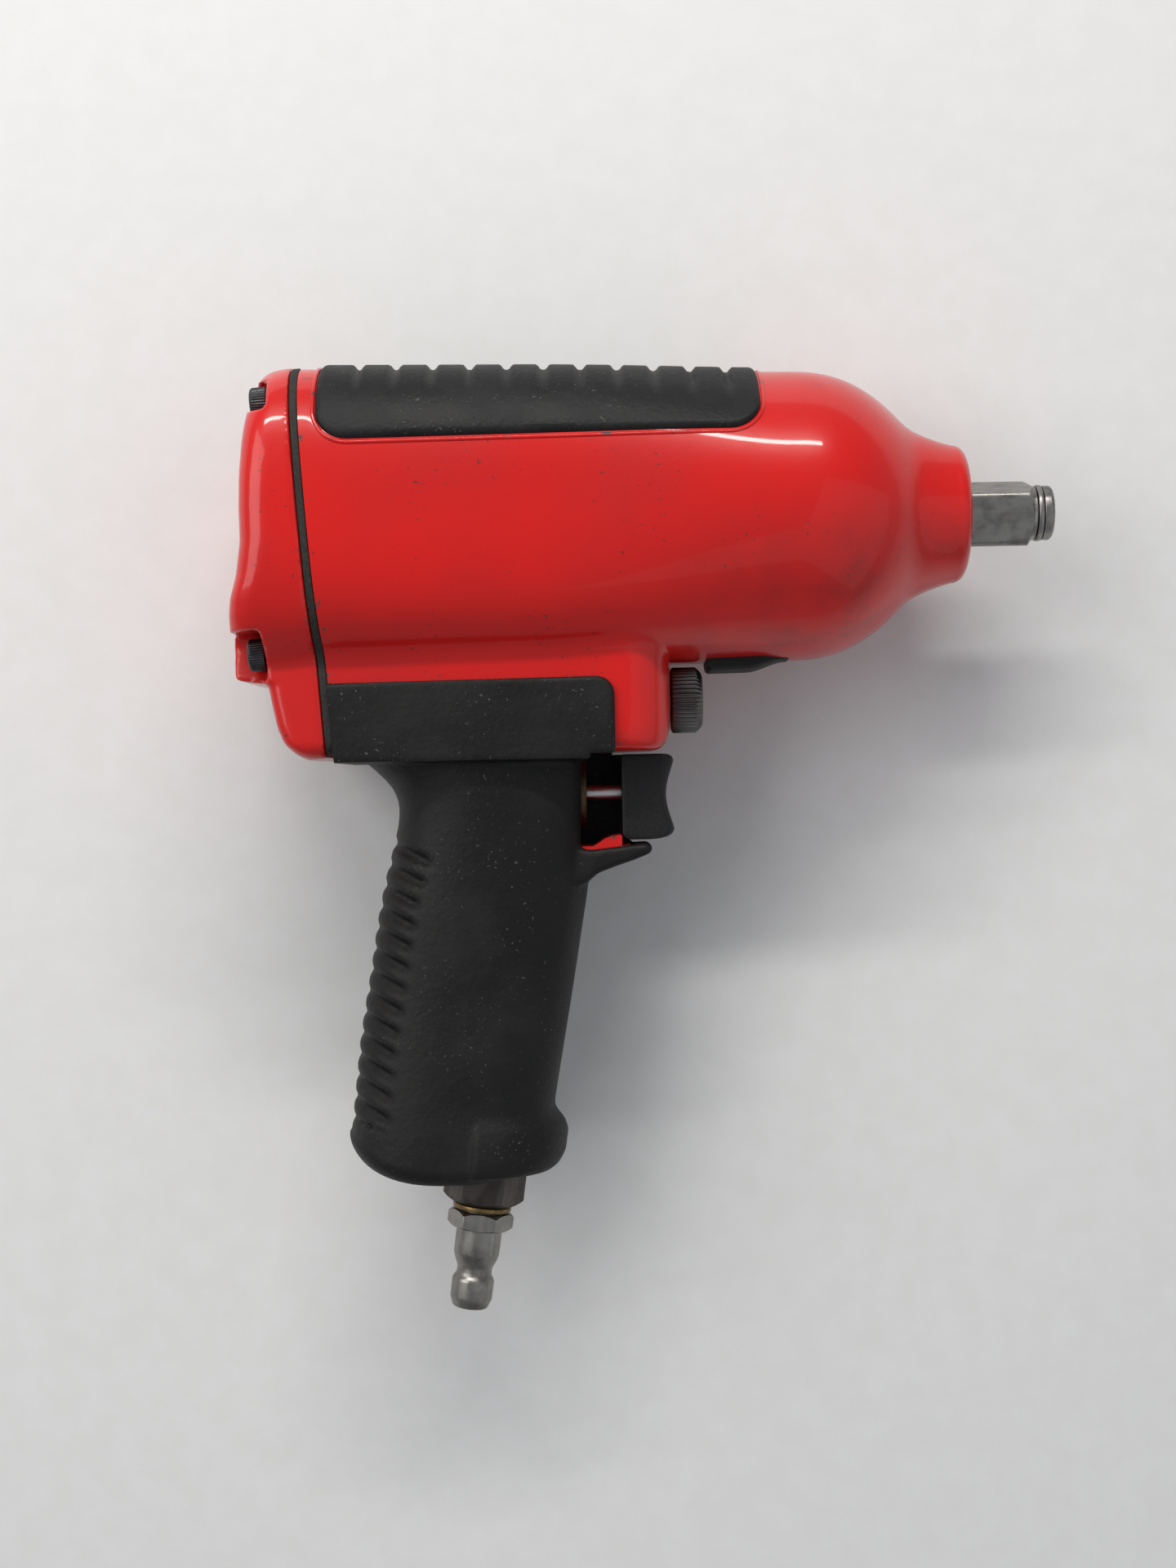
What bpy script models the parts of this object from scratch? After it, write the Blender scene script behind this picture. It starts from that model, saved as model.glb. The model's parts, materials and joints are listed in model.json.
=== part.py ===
"""Air impact wrench with a half-inch square drive, modelled as its separate pieces.

Frame: +X runs forward along the drive axis, +Y runs from the handle up through the barrel and
+Z comes out of the tool's right side, which faces up when the tool lies flat. The origin is the
centre of the square drive's end face. All sizes below are in millimetres.
"""

import math

import bmesh
import bpy
from mathutils import Matrix, Vector

MM = 0.001

# Clearances
GAP = 0.3
RUN = 0.25
PRESS = 0.2

# Square drive and anvil
DRIVE_SQUARE = 12.7
DRIVE_CORNER = 1.6
DRIVE_LAND_R = 6.2
DRIVE_LAND = 4.75
DRIVE_TURN = 20.0
RING_GROOVE_FRONT = 2.3
RING_GROOVE_WIDTH = 1.6
RING_GROOVE_DEPTH = 1.5
DRIVE_LENGTH = 20.2
SHANK_R = 9.5
ANVIL_BODY_R = 9.8
ANVIL_JAW_R = 13.0
ANVIL_JAW_FROM = 20.0
ANVIL_JAW_TO = 80.0
ANVIL_PILOT_R = 5.5
ANVIL_PILOT = 4.5

# Nose and barrel of the casting
NOSE_X = -20.0
NOSE_RIM = 1.0
LIP_R = 15.3
NECK_X = -33.5
NECK_R = 19.8
SHOULDER_X = -60.0
SHOULDER_R = 32.8
BARREL_GROWTH = 2.5
BARREL_REAR_X = -169.0
BARREL_POWER = 2.9
BARREL_NARROWING = 0.055
NOSE_OPENING_R = 10.2
BUSH_BORE_R = 12.9

# Plane where the rear cover joins the casting, leaning back at the top
JOINT_X = -168.78
JOINT_LEAN = 5.91
GASKET = 1.7

# Block below the barrel that holds the power regulator
BLOCK_FRONT = -88.0
BLOCK_BOTTOM = -53.0
BLOCK_HALF = 20.5
BLOCK_FRONT_ROUND = 10.0
BLOCK_EDGE = 4.0
BLOCK_FILLET = 3.0

# Handle
HANDLE_TOP = -54.4
HANDLE_POWER = 2.5
GRIP_WALL = 2.6
INLET_X = -131.8
INLET_Y = -149.5
INLET_LEAN = 8.0
CORE_BOTTOM = -146.3
SPOT_FACE = -4.65
SPOT_R = 10.4
LEDGE_HALF = 7.0
LEDGE_TIP_X = -97.0
GUARD_TIP_X = -94.2
GUARD_ROOT_X = -124.0
GUARD_HALF = 10.5

# Grip pads
TOP_PAD_FRONT = -67.7
TOP_PAD_REAR = -166.7
TOP_PAD_EDGE_Y = 16.0
TOP_PAD_PROUD = 0.9
TOP_PAD_SUNK = 0.6
TOP_PAD_ROUND = 7.0
TOP_GROOVES = 11
TOP_GROOVE_FIRST = -74.3
TOP_GROOVE_PITCH = 8.19
TOP_GROOVE_DEPTH = 1.1
TOP_GROOVE_HALF = 1.9
BUMPER_FRONT = -61.0
BUMPER_HALF = 8.0
BUMPER_KNOB_GAP = 0.9
BUMPER_PROUD = 2.2
SIDE_PAD_FRONT = -100.7
SIDE_PAD_TOP = -36.5
SIDE_PAD_THICK = 2.0
GRIP_GROOVES = 14
GRIP_GROOVE_FIRST = -76.0
GRIP_GROOVE_PITCH = 4.72
GRIP_GROOVE_DEPTH = 0.9
GRIP_GROOVE_SLOPE = 30.0
GRIP_GROOVE_HALF = 1.4

# Trigger and throttle
TRIGGER_BACK = -99.5
TRIGGER_FRONT = -87.9
TRIGGER_TOP = -53.9
TRIGGER_BOTTOM = -72.8
TRIGGER_HALF = 7.5
TRIGGER_TRAVEL = 6.3
VALVE_Y = -62.2
WINDOW_BACK = -106.2
WINDOW_BOTTOM = -74.4
MOUTH_HALF = 9.4
WELL_WALL = 3.0
WELL_WALL_LENGTH = 8.7
STEM_R = 1.65
CHAMBER_R = 8.0
CHAMBER_END = -133.0
THROTTLE_BUSH = 6.2
SEAT_X = -116.0
SEAT_THICK = 3.0
SEAT_BORE_R = 4.2
VALVE_HEAD_R = 5.6
VALVE_HEAD = 2.4
SPRING_WIRE_R = 0.5
SPRING_R = 4.2
SPRING_TURNS = 4

# Regulator
KNOB_FRONT = -80.5
KNOB_R = 7.5
KNOB_CLEARANCE = 1.1
KNOB_RIDGES = 36
REGULATOR_R = 5.7
REGULATOR_END = -124.0
PORT_X = -118.0
PORT_R = 3.2
PORT_TOP = -26.0

# Hammer mechanism
FRAME_R = 27.0
FRAME_CLEARANCE = 1.2
WEB_INSET = 0.4
FRAME_FRONT_X = -50.8
FRAME_FRONT_PLATE = 4.0
HAMMER_THICK = 14.0
FRAME_REAR_PLATE = 5.5
HAMMER_INSET = 1.0
HAMMER_HALF = 18.0
HAMMER_CAVITY_R = 13.5
HAMMER_SWING = 7.5
PIN_R = 3.6
PIN_OFFSET = 0.25
SPLINE_BOSS_R = 9.0
SPLINE_BOSS = 4.4

# Air motor
MOTOR_R = 29.5
PLATE_THICK = 9.0
CYLINDER_LENGTH = 41.0
CYLINDER_WALL = 3.4
CYLINDER_OFFSET = 2.3
ROTOR_CLEARANCE = 0.4
SHAFT_R = 5.0
VANES = 6
VANE_THICK = 2.4
VANE_SLOT = 3.0
VANE_DEPTH = 11.0
DOWEL_R = 1.6
DOWEL_INSET = 3.5

# Ball bearings
BEARING_BORE_R = 5.2
BEARING_R = 13.5
BEARING_WIDTH = 7.5
BEARING_PITCH_R = 9.4
BALL_R = 1.9
BALLS = 7

# Rear cover
COVER_SLAB = 9.0
COVER_EDGE_R = 5.5
COVER_PROUD = 0.8
COVER_OVERHANG = 0.9
SPIGOT_BORE_R = 17.0
UPPER_POCKET = 5.8
POCKET_ROOM = 1.0
SCREW_FROM_TOP = 9.1
SCREW_Y_DOWN = -30.6
SCREW_FROM_SIDE = 15.7
SCREW_Z_DOWN = 17.6
SCREW_HEAD_R = 3.6
SCREW_HEAD = 3.8
SCREW_SHANK_R = 2.0
SCREW_REACH = 9.5
HEX_KEY_R = 1.9

# Air inlet
BUSHING_HEX = 16.0
BUSHING_LENGTH = 10.2
BUSHING_THREAD_R = 8.2
BUSHING_THREAD = 12.0
BUSHING_BORE_R = 5.6
PLUG_STANDOFF = 1.9
PLUG_HEX = 13.0
PLUG_HEX_LENGTH = 4.0
PLUG_NECK_R = 5.2
PLUG_GROOVE_R = 4.0
PLUG_TIP = 7.0
PLUG_TIP_R = 4.8
PLUG_LENGTH = 18.3
PLUG_BORE_R = 2.6
MUFFLER_LENGTH = 9.0
EXHAUST_R = 5.0
PASSAGE_R = 4.8

SMOOTH_ANGLE = 35.0

# Sides of round pieces: large, medium and small
LARGE_SIDES = 24
MEDIUM_SIDES = 16
SMALL_SIDES = 12

# Reach of the cutters past the pieces that they cut
FAR = 260.0

# Sizes and places that follow from the sizes above
BARREL_REAR_R = SHOULDER_R + BARREL_GROWTH
WEB_R = FRAME_R - WEB_INSET
HAMMER_BORE_R = FRAME_R + FRAME_CLEARANCE
HAMMER_R = FRAME_R - HAMMER_INSET
PIN_Y = (HAMMER_CAVITY_R + HAMMER_R) / 2 + PIN_OFFSET
CYLINDER_BORE_R = MOTOR_R - CYLINDER_OFFSET - CYLINDER_WALL
ROTOR_R = CYLINDER_BORE_R - CYLINDER_OFFSET - ROTOR_CLEARANCE
DOWEL_Y = -(MOTOR_R - DOWEL_INSET)
KNOB_Y = -(SHOULDER_R + KNOB_CLEARANCE + KNOB_R)
BUMPER_REAR = KNOB_FRONT + BUMPER_KNOB_GAP
SCREW_Y_UP = BARREL_REAR_R - SCREW_FROM_TOP
SCREW_Z_UP = BARREL_REAR_R - SCREW_FROM_SIDE
HAMMER_1_X = FRAME_FRONT_X - FRAME_FRONT_PLATE - GAP
HAMMER_2_X = HAMMER_1_X - HAMMER_THICK - GAP
FRAME_REAR_X = HAMMER_2_X - HAMMER_THICK - GAP
FRAME_BACK_X = FRAME_REAR_X - FRAME_REAR_PLATE
FRONT_PLATE_X = FRAME_BACK_X - SPLINE_BOSS - 2 * GAP
CYLINDER_X = FRONT_PLATE_X - PLATE_THICK - GAP
REAR_PLATE_X = CYLINDER_X - CYLINDER_LENGTH - GAP
REAR_PLATE_BACK = REAR_PLATE_X - PLATE_THICK
MOTOR_BORE_R = MOTOR_R + GAP


def clear_scene():
    for obj in list(bpy.data.objects):
        bpy.data.objects.remove(obj, do_unlink=True)


def material(name, colour, roughness, metallic=0.0):
    """A Principled material with one plain colour."""
    mat = bpy.data.materials.new(name)
    mat.use_nodes = True
    shader = mat.node_tree.nodes["Principled BSDF"]
    shader.inputs["Base Color"].default_value = (*colour, 1.0)
    shader.inputs["Roughness"].default_value = roughness
    shader.inputs["Metallic"].default_value = metallic
    mat.diffuse_color = (*colour, 1.0)
    return mat


def make_object(name, bm, mat, origin=(0.0, 0.0, 0.0)):
    """Puts a mesh built in millimetres into the scene, with the object's origin at a point."""
    shift = Vector(origin)
    for vert in bm.verts:
        vert.co = (vert.co - shift) * MM
    mesh = bpy.data.meshes.new(name)
    bm.to_mesh(mesh)
    bm.free()
    mesh.shade_smooth()
    mesh.set_sharp_from_angle(angle=math.radians(SMOOTH_ANGLE))
    if mat:
        mesh.materials.append(mat)
    obj = bpy.data.objects.new(name, mesh)
    obj.location = shift * MM
    bpy.context.scene.collection.objects.link(obj)
    return obj


def boolean(obj, bm, operation):
    """Joins, cuts or keeps a shape on an object with a helper object that does not render."""
    helper = make_object(f"{obj.name}_{operation.lower()}_{len(obj.modifiers)}", bm, None)
    helper.hide_render = True
    helper.display_type = "WIRE"
    if obj.parent:
        helper.parent = obj.parent
    modifier = obj.modifiers.new(operation.title(), "BOOLEAN")
    modifier.operation = operation
    modifier.solver = "EXACT"
    modifier.object = helper
    return helper


def cut(obj, bm):
    return boolean(obj, bm, "DIFFERENCE")


def join(obj, bm):
    return boolean(obj, bm, "UNION")


def finish(bm):
    bmesh.ops.remove_doubles(bm, verts=bm.verts, dist=1e-4)
    bmesh.ops.recalc_face_normals(bm, faces=bm.faces)
    return bm


def turned(profile, steps=MEDIUM_SIDES, centre=(0.0, 0.0), phase=0.0):
    """A solid turned about the drive axis, or a line parallel to it, from (x, radius) points."""
    bm = bmesh.new()
    turn = math.radians(phase)
    points = [bm.verts.new((x, r * math.cos(turn), r * math.sin(turn))) for x, r in profile]
    edges = [bm.edges.new(pair) for pair in zip(points, points[1:])]
    if profile[0][1] > 0 or profile[-1][1] > 0:
        edges.append(bm.edges.new((points[-1], points[0])))
    bmesh.ops.spin(
        bm,
        geom=points + edges,
        cent=(0, 0, 0),
        axis=(1, 0, 0),
        angle=math.tau,
        steps=steps,
        use_merge=True,
    )
    bmesh.ops.translate(bm, verts=bm.verts, vec=(0.0, centre[0], centre[1]))
    return finish(bm)


def rod(front, back, radius, steps=MEDIUM_SIDES, centre=(0.0, 0.0)):
    return turned([(front, 0), (front, radius), (back, radius), (back, 0)], steps, centre)


def pipe(front, back, radius, bore, steps=MEDIUM_SIDES, centre=(0.0, 0.0)):
    return turned([(front, bore), (front, radius), (back, radius), (back, bore)], steps, centre)


def loft(rings):
    """A solid through rings of points that all have the same count, closed at both ends."""
    bm = bmesh.new()
    loops = [[bm.verts.new(point) for point in ring] for ring in rings]
    for near, far in zip(loops, loops[1:]):
        for i in range(len(near)):
            bm.faces.new((near[i - 1], near[i], far[i], far[i - 1]))
    bm.faces.new(loops[0])
    bm.faces.new(loops[-1])
    return finish(bm)


def prism(outline, low, high, axis="Z"):
    """A flat outline pulled out along an axis: (x, y) pairs along Z, or (y, z) pairs along X."""
    if axis == "Z":
        near = [(a, b, low) for a, b in outline]
        far = [(a, b, high) for a, b in outline]
    else:
        near = [(low, a, b) for a, b in outline]
        far = [(high, a, b) for a, b in outline]
    return loft([near, far])


def block(low, high):
    outline = [(low[0], low[1]), (high[0], low[1]), (high[0], high[1]), (low[0], high[1])]
    return prism(outline, low[2], high[2])


def arc(centre, radius, start, end, count):
    """Points on an arc from one angle to another, both in degrees and both included."""
    angles = [math.radians(start + (end - start) * i / (count - 1)) for i in range(count)]
    return [(centre[0] + radius * math.cos(a), centre[1] + radius * math.sin(a)) for a in angles]


def moved(bm, matrix):
    bmesh.ops.transform(bm, matrix=matrix, verts=bm.verts)
    return bm


def tube_between(start, end, radius, steps=SMALL_SIDES):
    """A round bar between two points."""
    start = Vector(start)
    along = Vector(end) - start
    bm = rod(0.0, along.length, radius, steps)
    turn = Vector((1, 0, 0)).rotation_difference(along.normalized()).to_matrix().to_4x4()
    return moved(bm, Matrix.Translation(start) @ turn)


def smoothstep(value, low, high):
    t = min(max((value - low) / (high - low), 0.0), 1.0)
    return t * t * (3.0 - 2.0 * t)


def along_points(points, value):
    """A value read from (place, value) points joined by straight runs."""
    points = sorted(points)
    if value <= points[0][0]:
        return points[0][1]
    for (a, va), (b, vb) in zip(points, points[1:]):
        if value <= b:
            return va + (vb - va) * (value - a) / (b - a)
    return points[-1][1]


# Outer form of the casting


def barrel_radius(x):
    """Half height of the barrel: a flared neck, a full shoulder, then a slight taper."""
    if x >= NECK_X:
        share = max((NOSE_X - x) / (NOSE_X - NECK_X), 0.0)
        return LIP_R + (NECK_R - LIP_R) * share**1.6
    if x >= SHOULDER_X:
        share = (NECK_X - x) / (NECK_X - SHOULDER_X)
        return NECK_R + (SHOULDER_R - NECK_R) * (1.0 - (1.0 - share) ** 2.4)
    share = (SHOULDER_X - x) / (SHOULDER_X - BARREL_REAR_X)
    return SHOULDER_R + (BARREL_REAR_R - SHOULDER_R) * share


def barrel_shape(x):
    """(half height, half width, superellipse power) of the barrel's section at a station."""
    height = barrel_radius(x)
    square = smoothstep(-x, -SHOULDER_X, -SHOULDER_X + 60.0)
    return height, height * (1.0 - BARREL_NARROWING * square), 2.0 + (BARREL_POWER - 2.0) * square


def barrel_point(x, angle, grow=0.0):
    """A point on the barrel's skin. The angle runs from +Z towards +Y, in radians."""
    height, width, power = barrel_shape(x)
    c, s = math.cos(angle), math.sin(angle)
    reach = (abs(c / width) ** power + abs(s / height) ** power) ** (-1.0 / power)
    return x, (reach + grow) * s, (reach + grow) * c


def barrel_half_width(x, y):
    """Half width of the barrel at a height, or None where the barrel does not reach."""
    height, width, power = barrel_shape(x)
    if abs(y) >= height:
        return 0.0
    return width * (1.0 - (abs(y) / height) ** power) ** (1.0 / power)


def barrel_form():
    stations = [NOSE_X - NOSE_RIM, -24.0, -28.5, NECK_X]
    stations += [NECK_X + (SHOULDER_X - NECK_X) * (i / 6) ** 1.3 for i in range(1, 7)]
    stations += [SHOULDER_X - 20.0 * i for i in range(1, 4)] + [BARREL_REAR_X - 7.0]
    angles = [math.tau * i / 32 for i in range(32)]
    rings = [[barrel_point(x, a) for a in angles] for x in stations]
    rim = [[barrel_point(NOSE_X - NOSE_RIM * f, a, -NOSE_RIM * g) for a in angles] for f, g in ((0.0, 1.0), (0.3, 0.3))]
    return loft(rim + rings)


def block_form():
    """Block under the barrel, with a rounded front and rounded lower edges."""
    rings = []
    turns = [math.radians(a) for a in (90.0, 67.5, 45.0, 22.5, 0.0)]
    front = [(BLOCK_FRONT - BLOCK_FRONT_ROUND * (1 - math.sin(a)), BLOCK_FRONT_ROUND * (1 - math.cos(a))) for a in turns]
    stations = front + [(BARREL_REAR_X - 8.0, 0.0)]
    for x, inset in stations:
        half = BLOCK_HALF - inset
        lift = 1.2 * (inset / BLOCK_FRONT_ROUND) ** 2
        corner = arc((half - BLOCK_EDGE, BLOCK_BOTTOM + BLOCK_EDGE + lift), BLOCK_EDGE, 0.0, -90.0, 4)
        right = [(half, -15.0)] + corner
        section = right + [(-z, y) for z, y in reversed(right)]
        rings.append([(x, y, z) for z, y in section])
    return loft(rings)


def block_fillet():
    """Blend where the block's front face runs up into the barrel."""
    top = KNOB_Y + KNOB_R + BLOCK_FILLET + 0.6
    centre = (BLOCK_FRONT + BLOCK_FILLET, top - BLOCK_FILLET)
    curve = arc(centre, BLOCK_FILLET, 90.0, 170.0, 5)
    high = top + 4.0
    outline = [(BLOCK_FRONT - 6.0, high), (centre[0], high)] + curve + [(BLOCK_FRONT - 6.0, centre[1] - 3.0)]
    half = BLOCK_HALF - BLOCK_FRONT_ROUND - 1.0
    return prism(outline, -half, half)


# Handle form, shared by the casting's core and the rubber grip

HANDLE_FRONT_LINE = [(-50.0, -106.4), (-81.7, -106.9), (-105.0, -110.8), (-133.0, -115.8), (-152.0, -118.6)]
HANDLE_BACK_LINE = [(-50.0, -150.5), (-59.5, -148.9), (-66.9, -149.4), (-85.6, -153.1), (-104.2, -156.2), (-122.8, -160.0), (-139.6, -162.2), (-152.0, -163.0)]
HANDLE_HALF_LINE = [(-50.0, 18.8), (-75.0, 17.4), (-110.0, 17.4), (-139.6, 19.2), (-152.0, 19.4)]


def handle_point(y, angle, inset=0.0):
    """A point on the handle's skin at a height. Angle 0 faces the front."""
    front = along_points(HANDLE_FRONT_LINE, y) - inset
    back = along_points(HANDLE_BACK_LINE, y) + inset
    half = along_points(HANDLE_HALF_LINE, y) - inset
    c, s = math.cos(angle), math.sin(angle)
    depth = (front - back) / 2
    reach = (abs(c / depth) ** HANDLE_POWER + abs(s / half) ** HANDLE_POWER) ** (-1.0 / HANDLE_POWER)
    return (front + back) / 2 + reach * c, y, reach * s


def bottom_of_grip(x):
    """Lower edge of the grip, bowed downwards between its front and rear corners."""
    share = (x + 138.3) / 24.5
    return -149.0 + 4.6 * abs(share) ** 2.2


def core_form(grow=0.0):
    """The casting's handle core inside the grip."""
    angles = [math.tau * i / 20 for i in range(20)]
    levels = [-44.0, -59.5, -66.9, -76.0, -85.6, -122.8, -139.6, -153.0]
    return loft([[handle_point(y, a, GRIP_WALL - grow) for a in angles] for y in levels])


def inlet_frame(depth=0.0):
    """Matrix whose +X runs down and out of the handle along the air inlet."""
    lean = math.radians(INLET_LEAN)
    out = Vector((-math.sin(lean), -math.cos(lean), 0.0))
    side = Vector((0.0, 0.0, 1.0))
    turn = Matrix((out, side.cross(out), side)).transposed().to_4x4()
    start = Vector((INLET_X, INLET_Y, 0.0)) + out * depth
    return Matrix.Translation(start) @ turn


def joint_matrix():
    """Matrix of the rear joint: its +X is the joint plane's forward normal."""
    return Matrix.Translation((JOINT_X, 0.0, 0.0)) @ Matrix.Rotation(math.radians(JOINT_LEAN), 4, "Z")


# Air passages and bores of the casting


def main_bore():
    """Bore for bush, hammers and motor, opening at the rear joint."""
    front = FRAME_FRONT_X + 2.0
    profile = [
        (NOSE_X + 2.0, 0.0),
        (NOSE_X + 2.0, NOSE_OPENING_R),
        (NOSE_X - 2.5, NOSE_OPENING_R),
        (NOSE_X - 2.5, BUSH_BORE_R),
        (front + 1.5, BUSH_BORE_R),
        (front + 1.5, HAMMER_BORE_R - 6.0),
        (front - 2.0, HAMMER_BORE_R),
        (FRONT_PLATE_X + GAP, HAMMER_BORE_R),
        (FRONT_PLATE_X + GAP, MOTOR_BORE_R),
        (JOINT_X - 16.0, MOTOR_BORE_R),
        (JOINT_X - 16.0, 0.0),
    ]
    return turned(profile, LARGE_SIDES)


def exhaust_start():
    return Vector((-137.0, -26.0, 0.0))


def exhaust_end():
    return Vector((-150.0, -156.0, 0.0))


def pad_edge_angle(x, grow):
    """Angle of the top pad's lower edge at a station, with rounded corners at both ends."""
    rise = 0.0
    corner = TOP_PAD_ROUND + grow
    for end in (TOP_PAD_FRONT + grow, TOP_PAD_REAR - grow):
        near = abs(end - x)
        if near < corner:
            rise = corner - math.sqrt(corner**2 - (corner - near) ** 2)
    height, width, power = barrel_shape(x)
    edge = min(TOP_PAD_EDGE_Y - grow + rise, height - 2.0)
    return math.atan2(edge, barrel_half_width(x, edge))


def pad_groove(x):
    """Share of the full groove depth at a station."""
    for i in range(TOP_GROOVES):
        away = abs(x - (TOP_GROOVE_FIRST - i * TOP_GROOVE_PITCH))
        if away < TOP_GROOVE_HALF:
            return 1.0 if away < 0.5 * TOP_GROOVE_HALF else 0.0
    return 0.0


def top_pad_form(grow=0.0, grooves=True):
    """Rubber pad over the barrel: grown and without grooves it is also the recess it lies in."""
    front, rear = TOP_PAD_FRONT + grow, TOP_PAD_REAR - grow
    ends = [(TOP_PAD_ROUND + grow) * f for f in (0.0, 0.15, 0.5, 1.0)]
    stations = [front - e for e in ends] + [rear + e for e in ends]
    if grooves:
        for i in range(TOP_GROOVES):
            middle = TOP_GROOVE_FIRST - i * TOP_GROOVE_PITCH
            stations += [middle + TOP_GROOVE_HALF * f for f in (1.0, 0.0, -1.0)]
    else:
        stations += [front + (rear - front) * i / 8 for i in range(1, 8)]
    rings = []
    for x in sorted(stations):
        edge = pad_edge_angle(x, grow)
        angles = [edge + (math.pi - 2 * edge) * i / 8 for i in range(9)]
        dip = pad_groove(x) * TOP_GROOVE_DEPTH if grooves else 0.0
        ease = 0.45 if min(front - x, x - rear) < 0.1 else 0.0
        outer = []
        for i, a in enumerate(angles):
            side = smoothstep(barrel_point(x, a)[1], 23.0, 29.0)
            roll = 0.5 if i in (0, 8) else 0.0
            proud = TOP_PAD_PROUD + grow - dip * side - max(ease, roll) * (grow == 0.0)
            outer.append(barrel_point(x, a, proud))
        inner = [barrel_point(x, a, -TOP_PAD_SUNK - grow) for a in reversed(angles)]
        rings.append(outer + inner)
    return loft(rings)


def bumper_form(grow=0.0):
    """Rubber strip under the barrel, running flush with it at the front."""
    rings = []
    length = BUMPER_FRONT - BUMPER_REAR
    for share in (0.0, 0.15, 0.4, 0.7, 1.0):
        x = BUMPER_FRONT + grow - (length + 2 * grow) * share
        half = (BUMPER_HALF + grow) * (0.72 + 0.28 * smoothstep(share, 0.0, 0.35))
        proud = (0.2 + BUMPER_PROUD * smoothstep(share, 0.0, 0.5)) + grow
        spread = math.asin(half / barrel_radius(x))
        angles = [-math.pi / 2 + spread * f for f in (-1.0, -0.6, 0.0, 0.6, 1.0)]
        lift = [0.5, 0.0, 0.0, 0.0, 0.5]
        outer = [barrel_point(x, a, proud - e * proud) for a, e in zip(angles, lift)]
        inner = [barrel_point(x, a, -1.2 - grow) for a in reversed(angles)]
        rings.append(outer + inner)
    return loft(rings)


def ledge_outline(grow=0.0):
    """Side view of the casting's ledge below the trigger, set out from its tip and the window."""
    return [
        (LEDGE_TIP_X - 15.0, WINDOW_BOTTOM - 0.2 + grow),
        (LEDGE_TIP_X - 4.0, WINDOW_BOTTOM - 0.4 + grow),
        (LEDGE_TIP_X - 0.6 + grow, WINDOW_BOTTOM + grow),
        (LEDGE_TIP_X + grow, WINDOW_BOTTOM - 1.6),
        (LEDGE_TIP_X - 4.0, WINDOW_BOTTOM - 3.4 - grow),
        (LEDGE_TIP_X - 15.0, WINDOW_BOTTOM - 4.6 - grow),
    ]


def screw_places():
    """(y, z) of the cover screws in the joint plane."""
    pairs = ((SCREW_Y_UP, SCREW_Z_UP), (SCREW_Y_DOWN, SCREW_Z_DOWN))
    return [(y, side * z) for y, z in pairs for side in (1, -1)]


def build_housing(mat):
    housing = make_object("housing", barrel_form(), mat)
    join(housing, block_form())
    join(housing, block_fillet())
    join(housing, core_form())
    join(housing, prism(ledge_outline(), -LEDGE_HALF, LEDGE_HALF))
    cut(housing, main_bore())
    slab = moved(block((-FAR, -FAR, -FAR), (0.0, FAR, FAR)), joint_matrix())
    cut(housing, slab)
    cut(housing, block((-FAR, -FAR, -FAR), (FAR, CORE_BOTTOM, FAR)))
    cut(housing, moved(rod(SPOT_FACE, 20.0, SPOT_R, MEDIUM_SIDES), inlet_frame()))
    cut(housing, rod(WINDOW_BACK + 4.0, CHAMBER_END, CHAMBER_R, MEDIUM_SIDES, (VALVE_Y, 0.0)))
    cut(housing, rod(BLOCK_FRONT + 4.0, REGULATOR_END - GAP, REGULATOR_R + RUN, MEDIUM_SIDES, (KNOB_Y, 0.0)))
    port = tube_between((PORT_X, VALVE_Y - 1.8, 0.0), (PORT_X, PORT_TOP, 0.0), PORT_R, SMALL_SIDES)
    cut(housing, port)
    thread_end = SPOT_FACE - BUSHING_THREAD
    cut(housing, moved(rod(6.0, thread_end - 1.5, BUSHING_THREAD_R + GAP, MEDIUM_SIDES), inlet_frame()))
    low = inlet_frame() @ Vector((thread_end - 0.5, 0.0, 0.0))
    cut(housing, tube_between(low, (CHAMBER_END + 9.5, VALVE_Y, 0.0), PASSAGE_R, SMALL_SIDES))
    cut(housing, tube_between(exhaust_start(), exhaust_end(), EXHAUST_R, SMALL_SIDES))
    for y, z in screw_places():
        hole = rod(SCREW_REACH + 1.0, -4.0, SCREW_SHANK_R + GAP, SMALL_SIDES, (y, z))
        cut(housing, moved(hole, joint_matrix()))
    cut(housing, top_pad_form(GAP, False))
    cut(housing, bumper_form(GAP))
    return housing


def build_top_pad(mat):
    return make_object("top_grip_pad", top_pad_form(), mat)


def build_bumper(mat):
    return make_object("lower_bumper", bumper_form(), mat)


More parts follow.
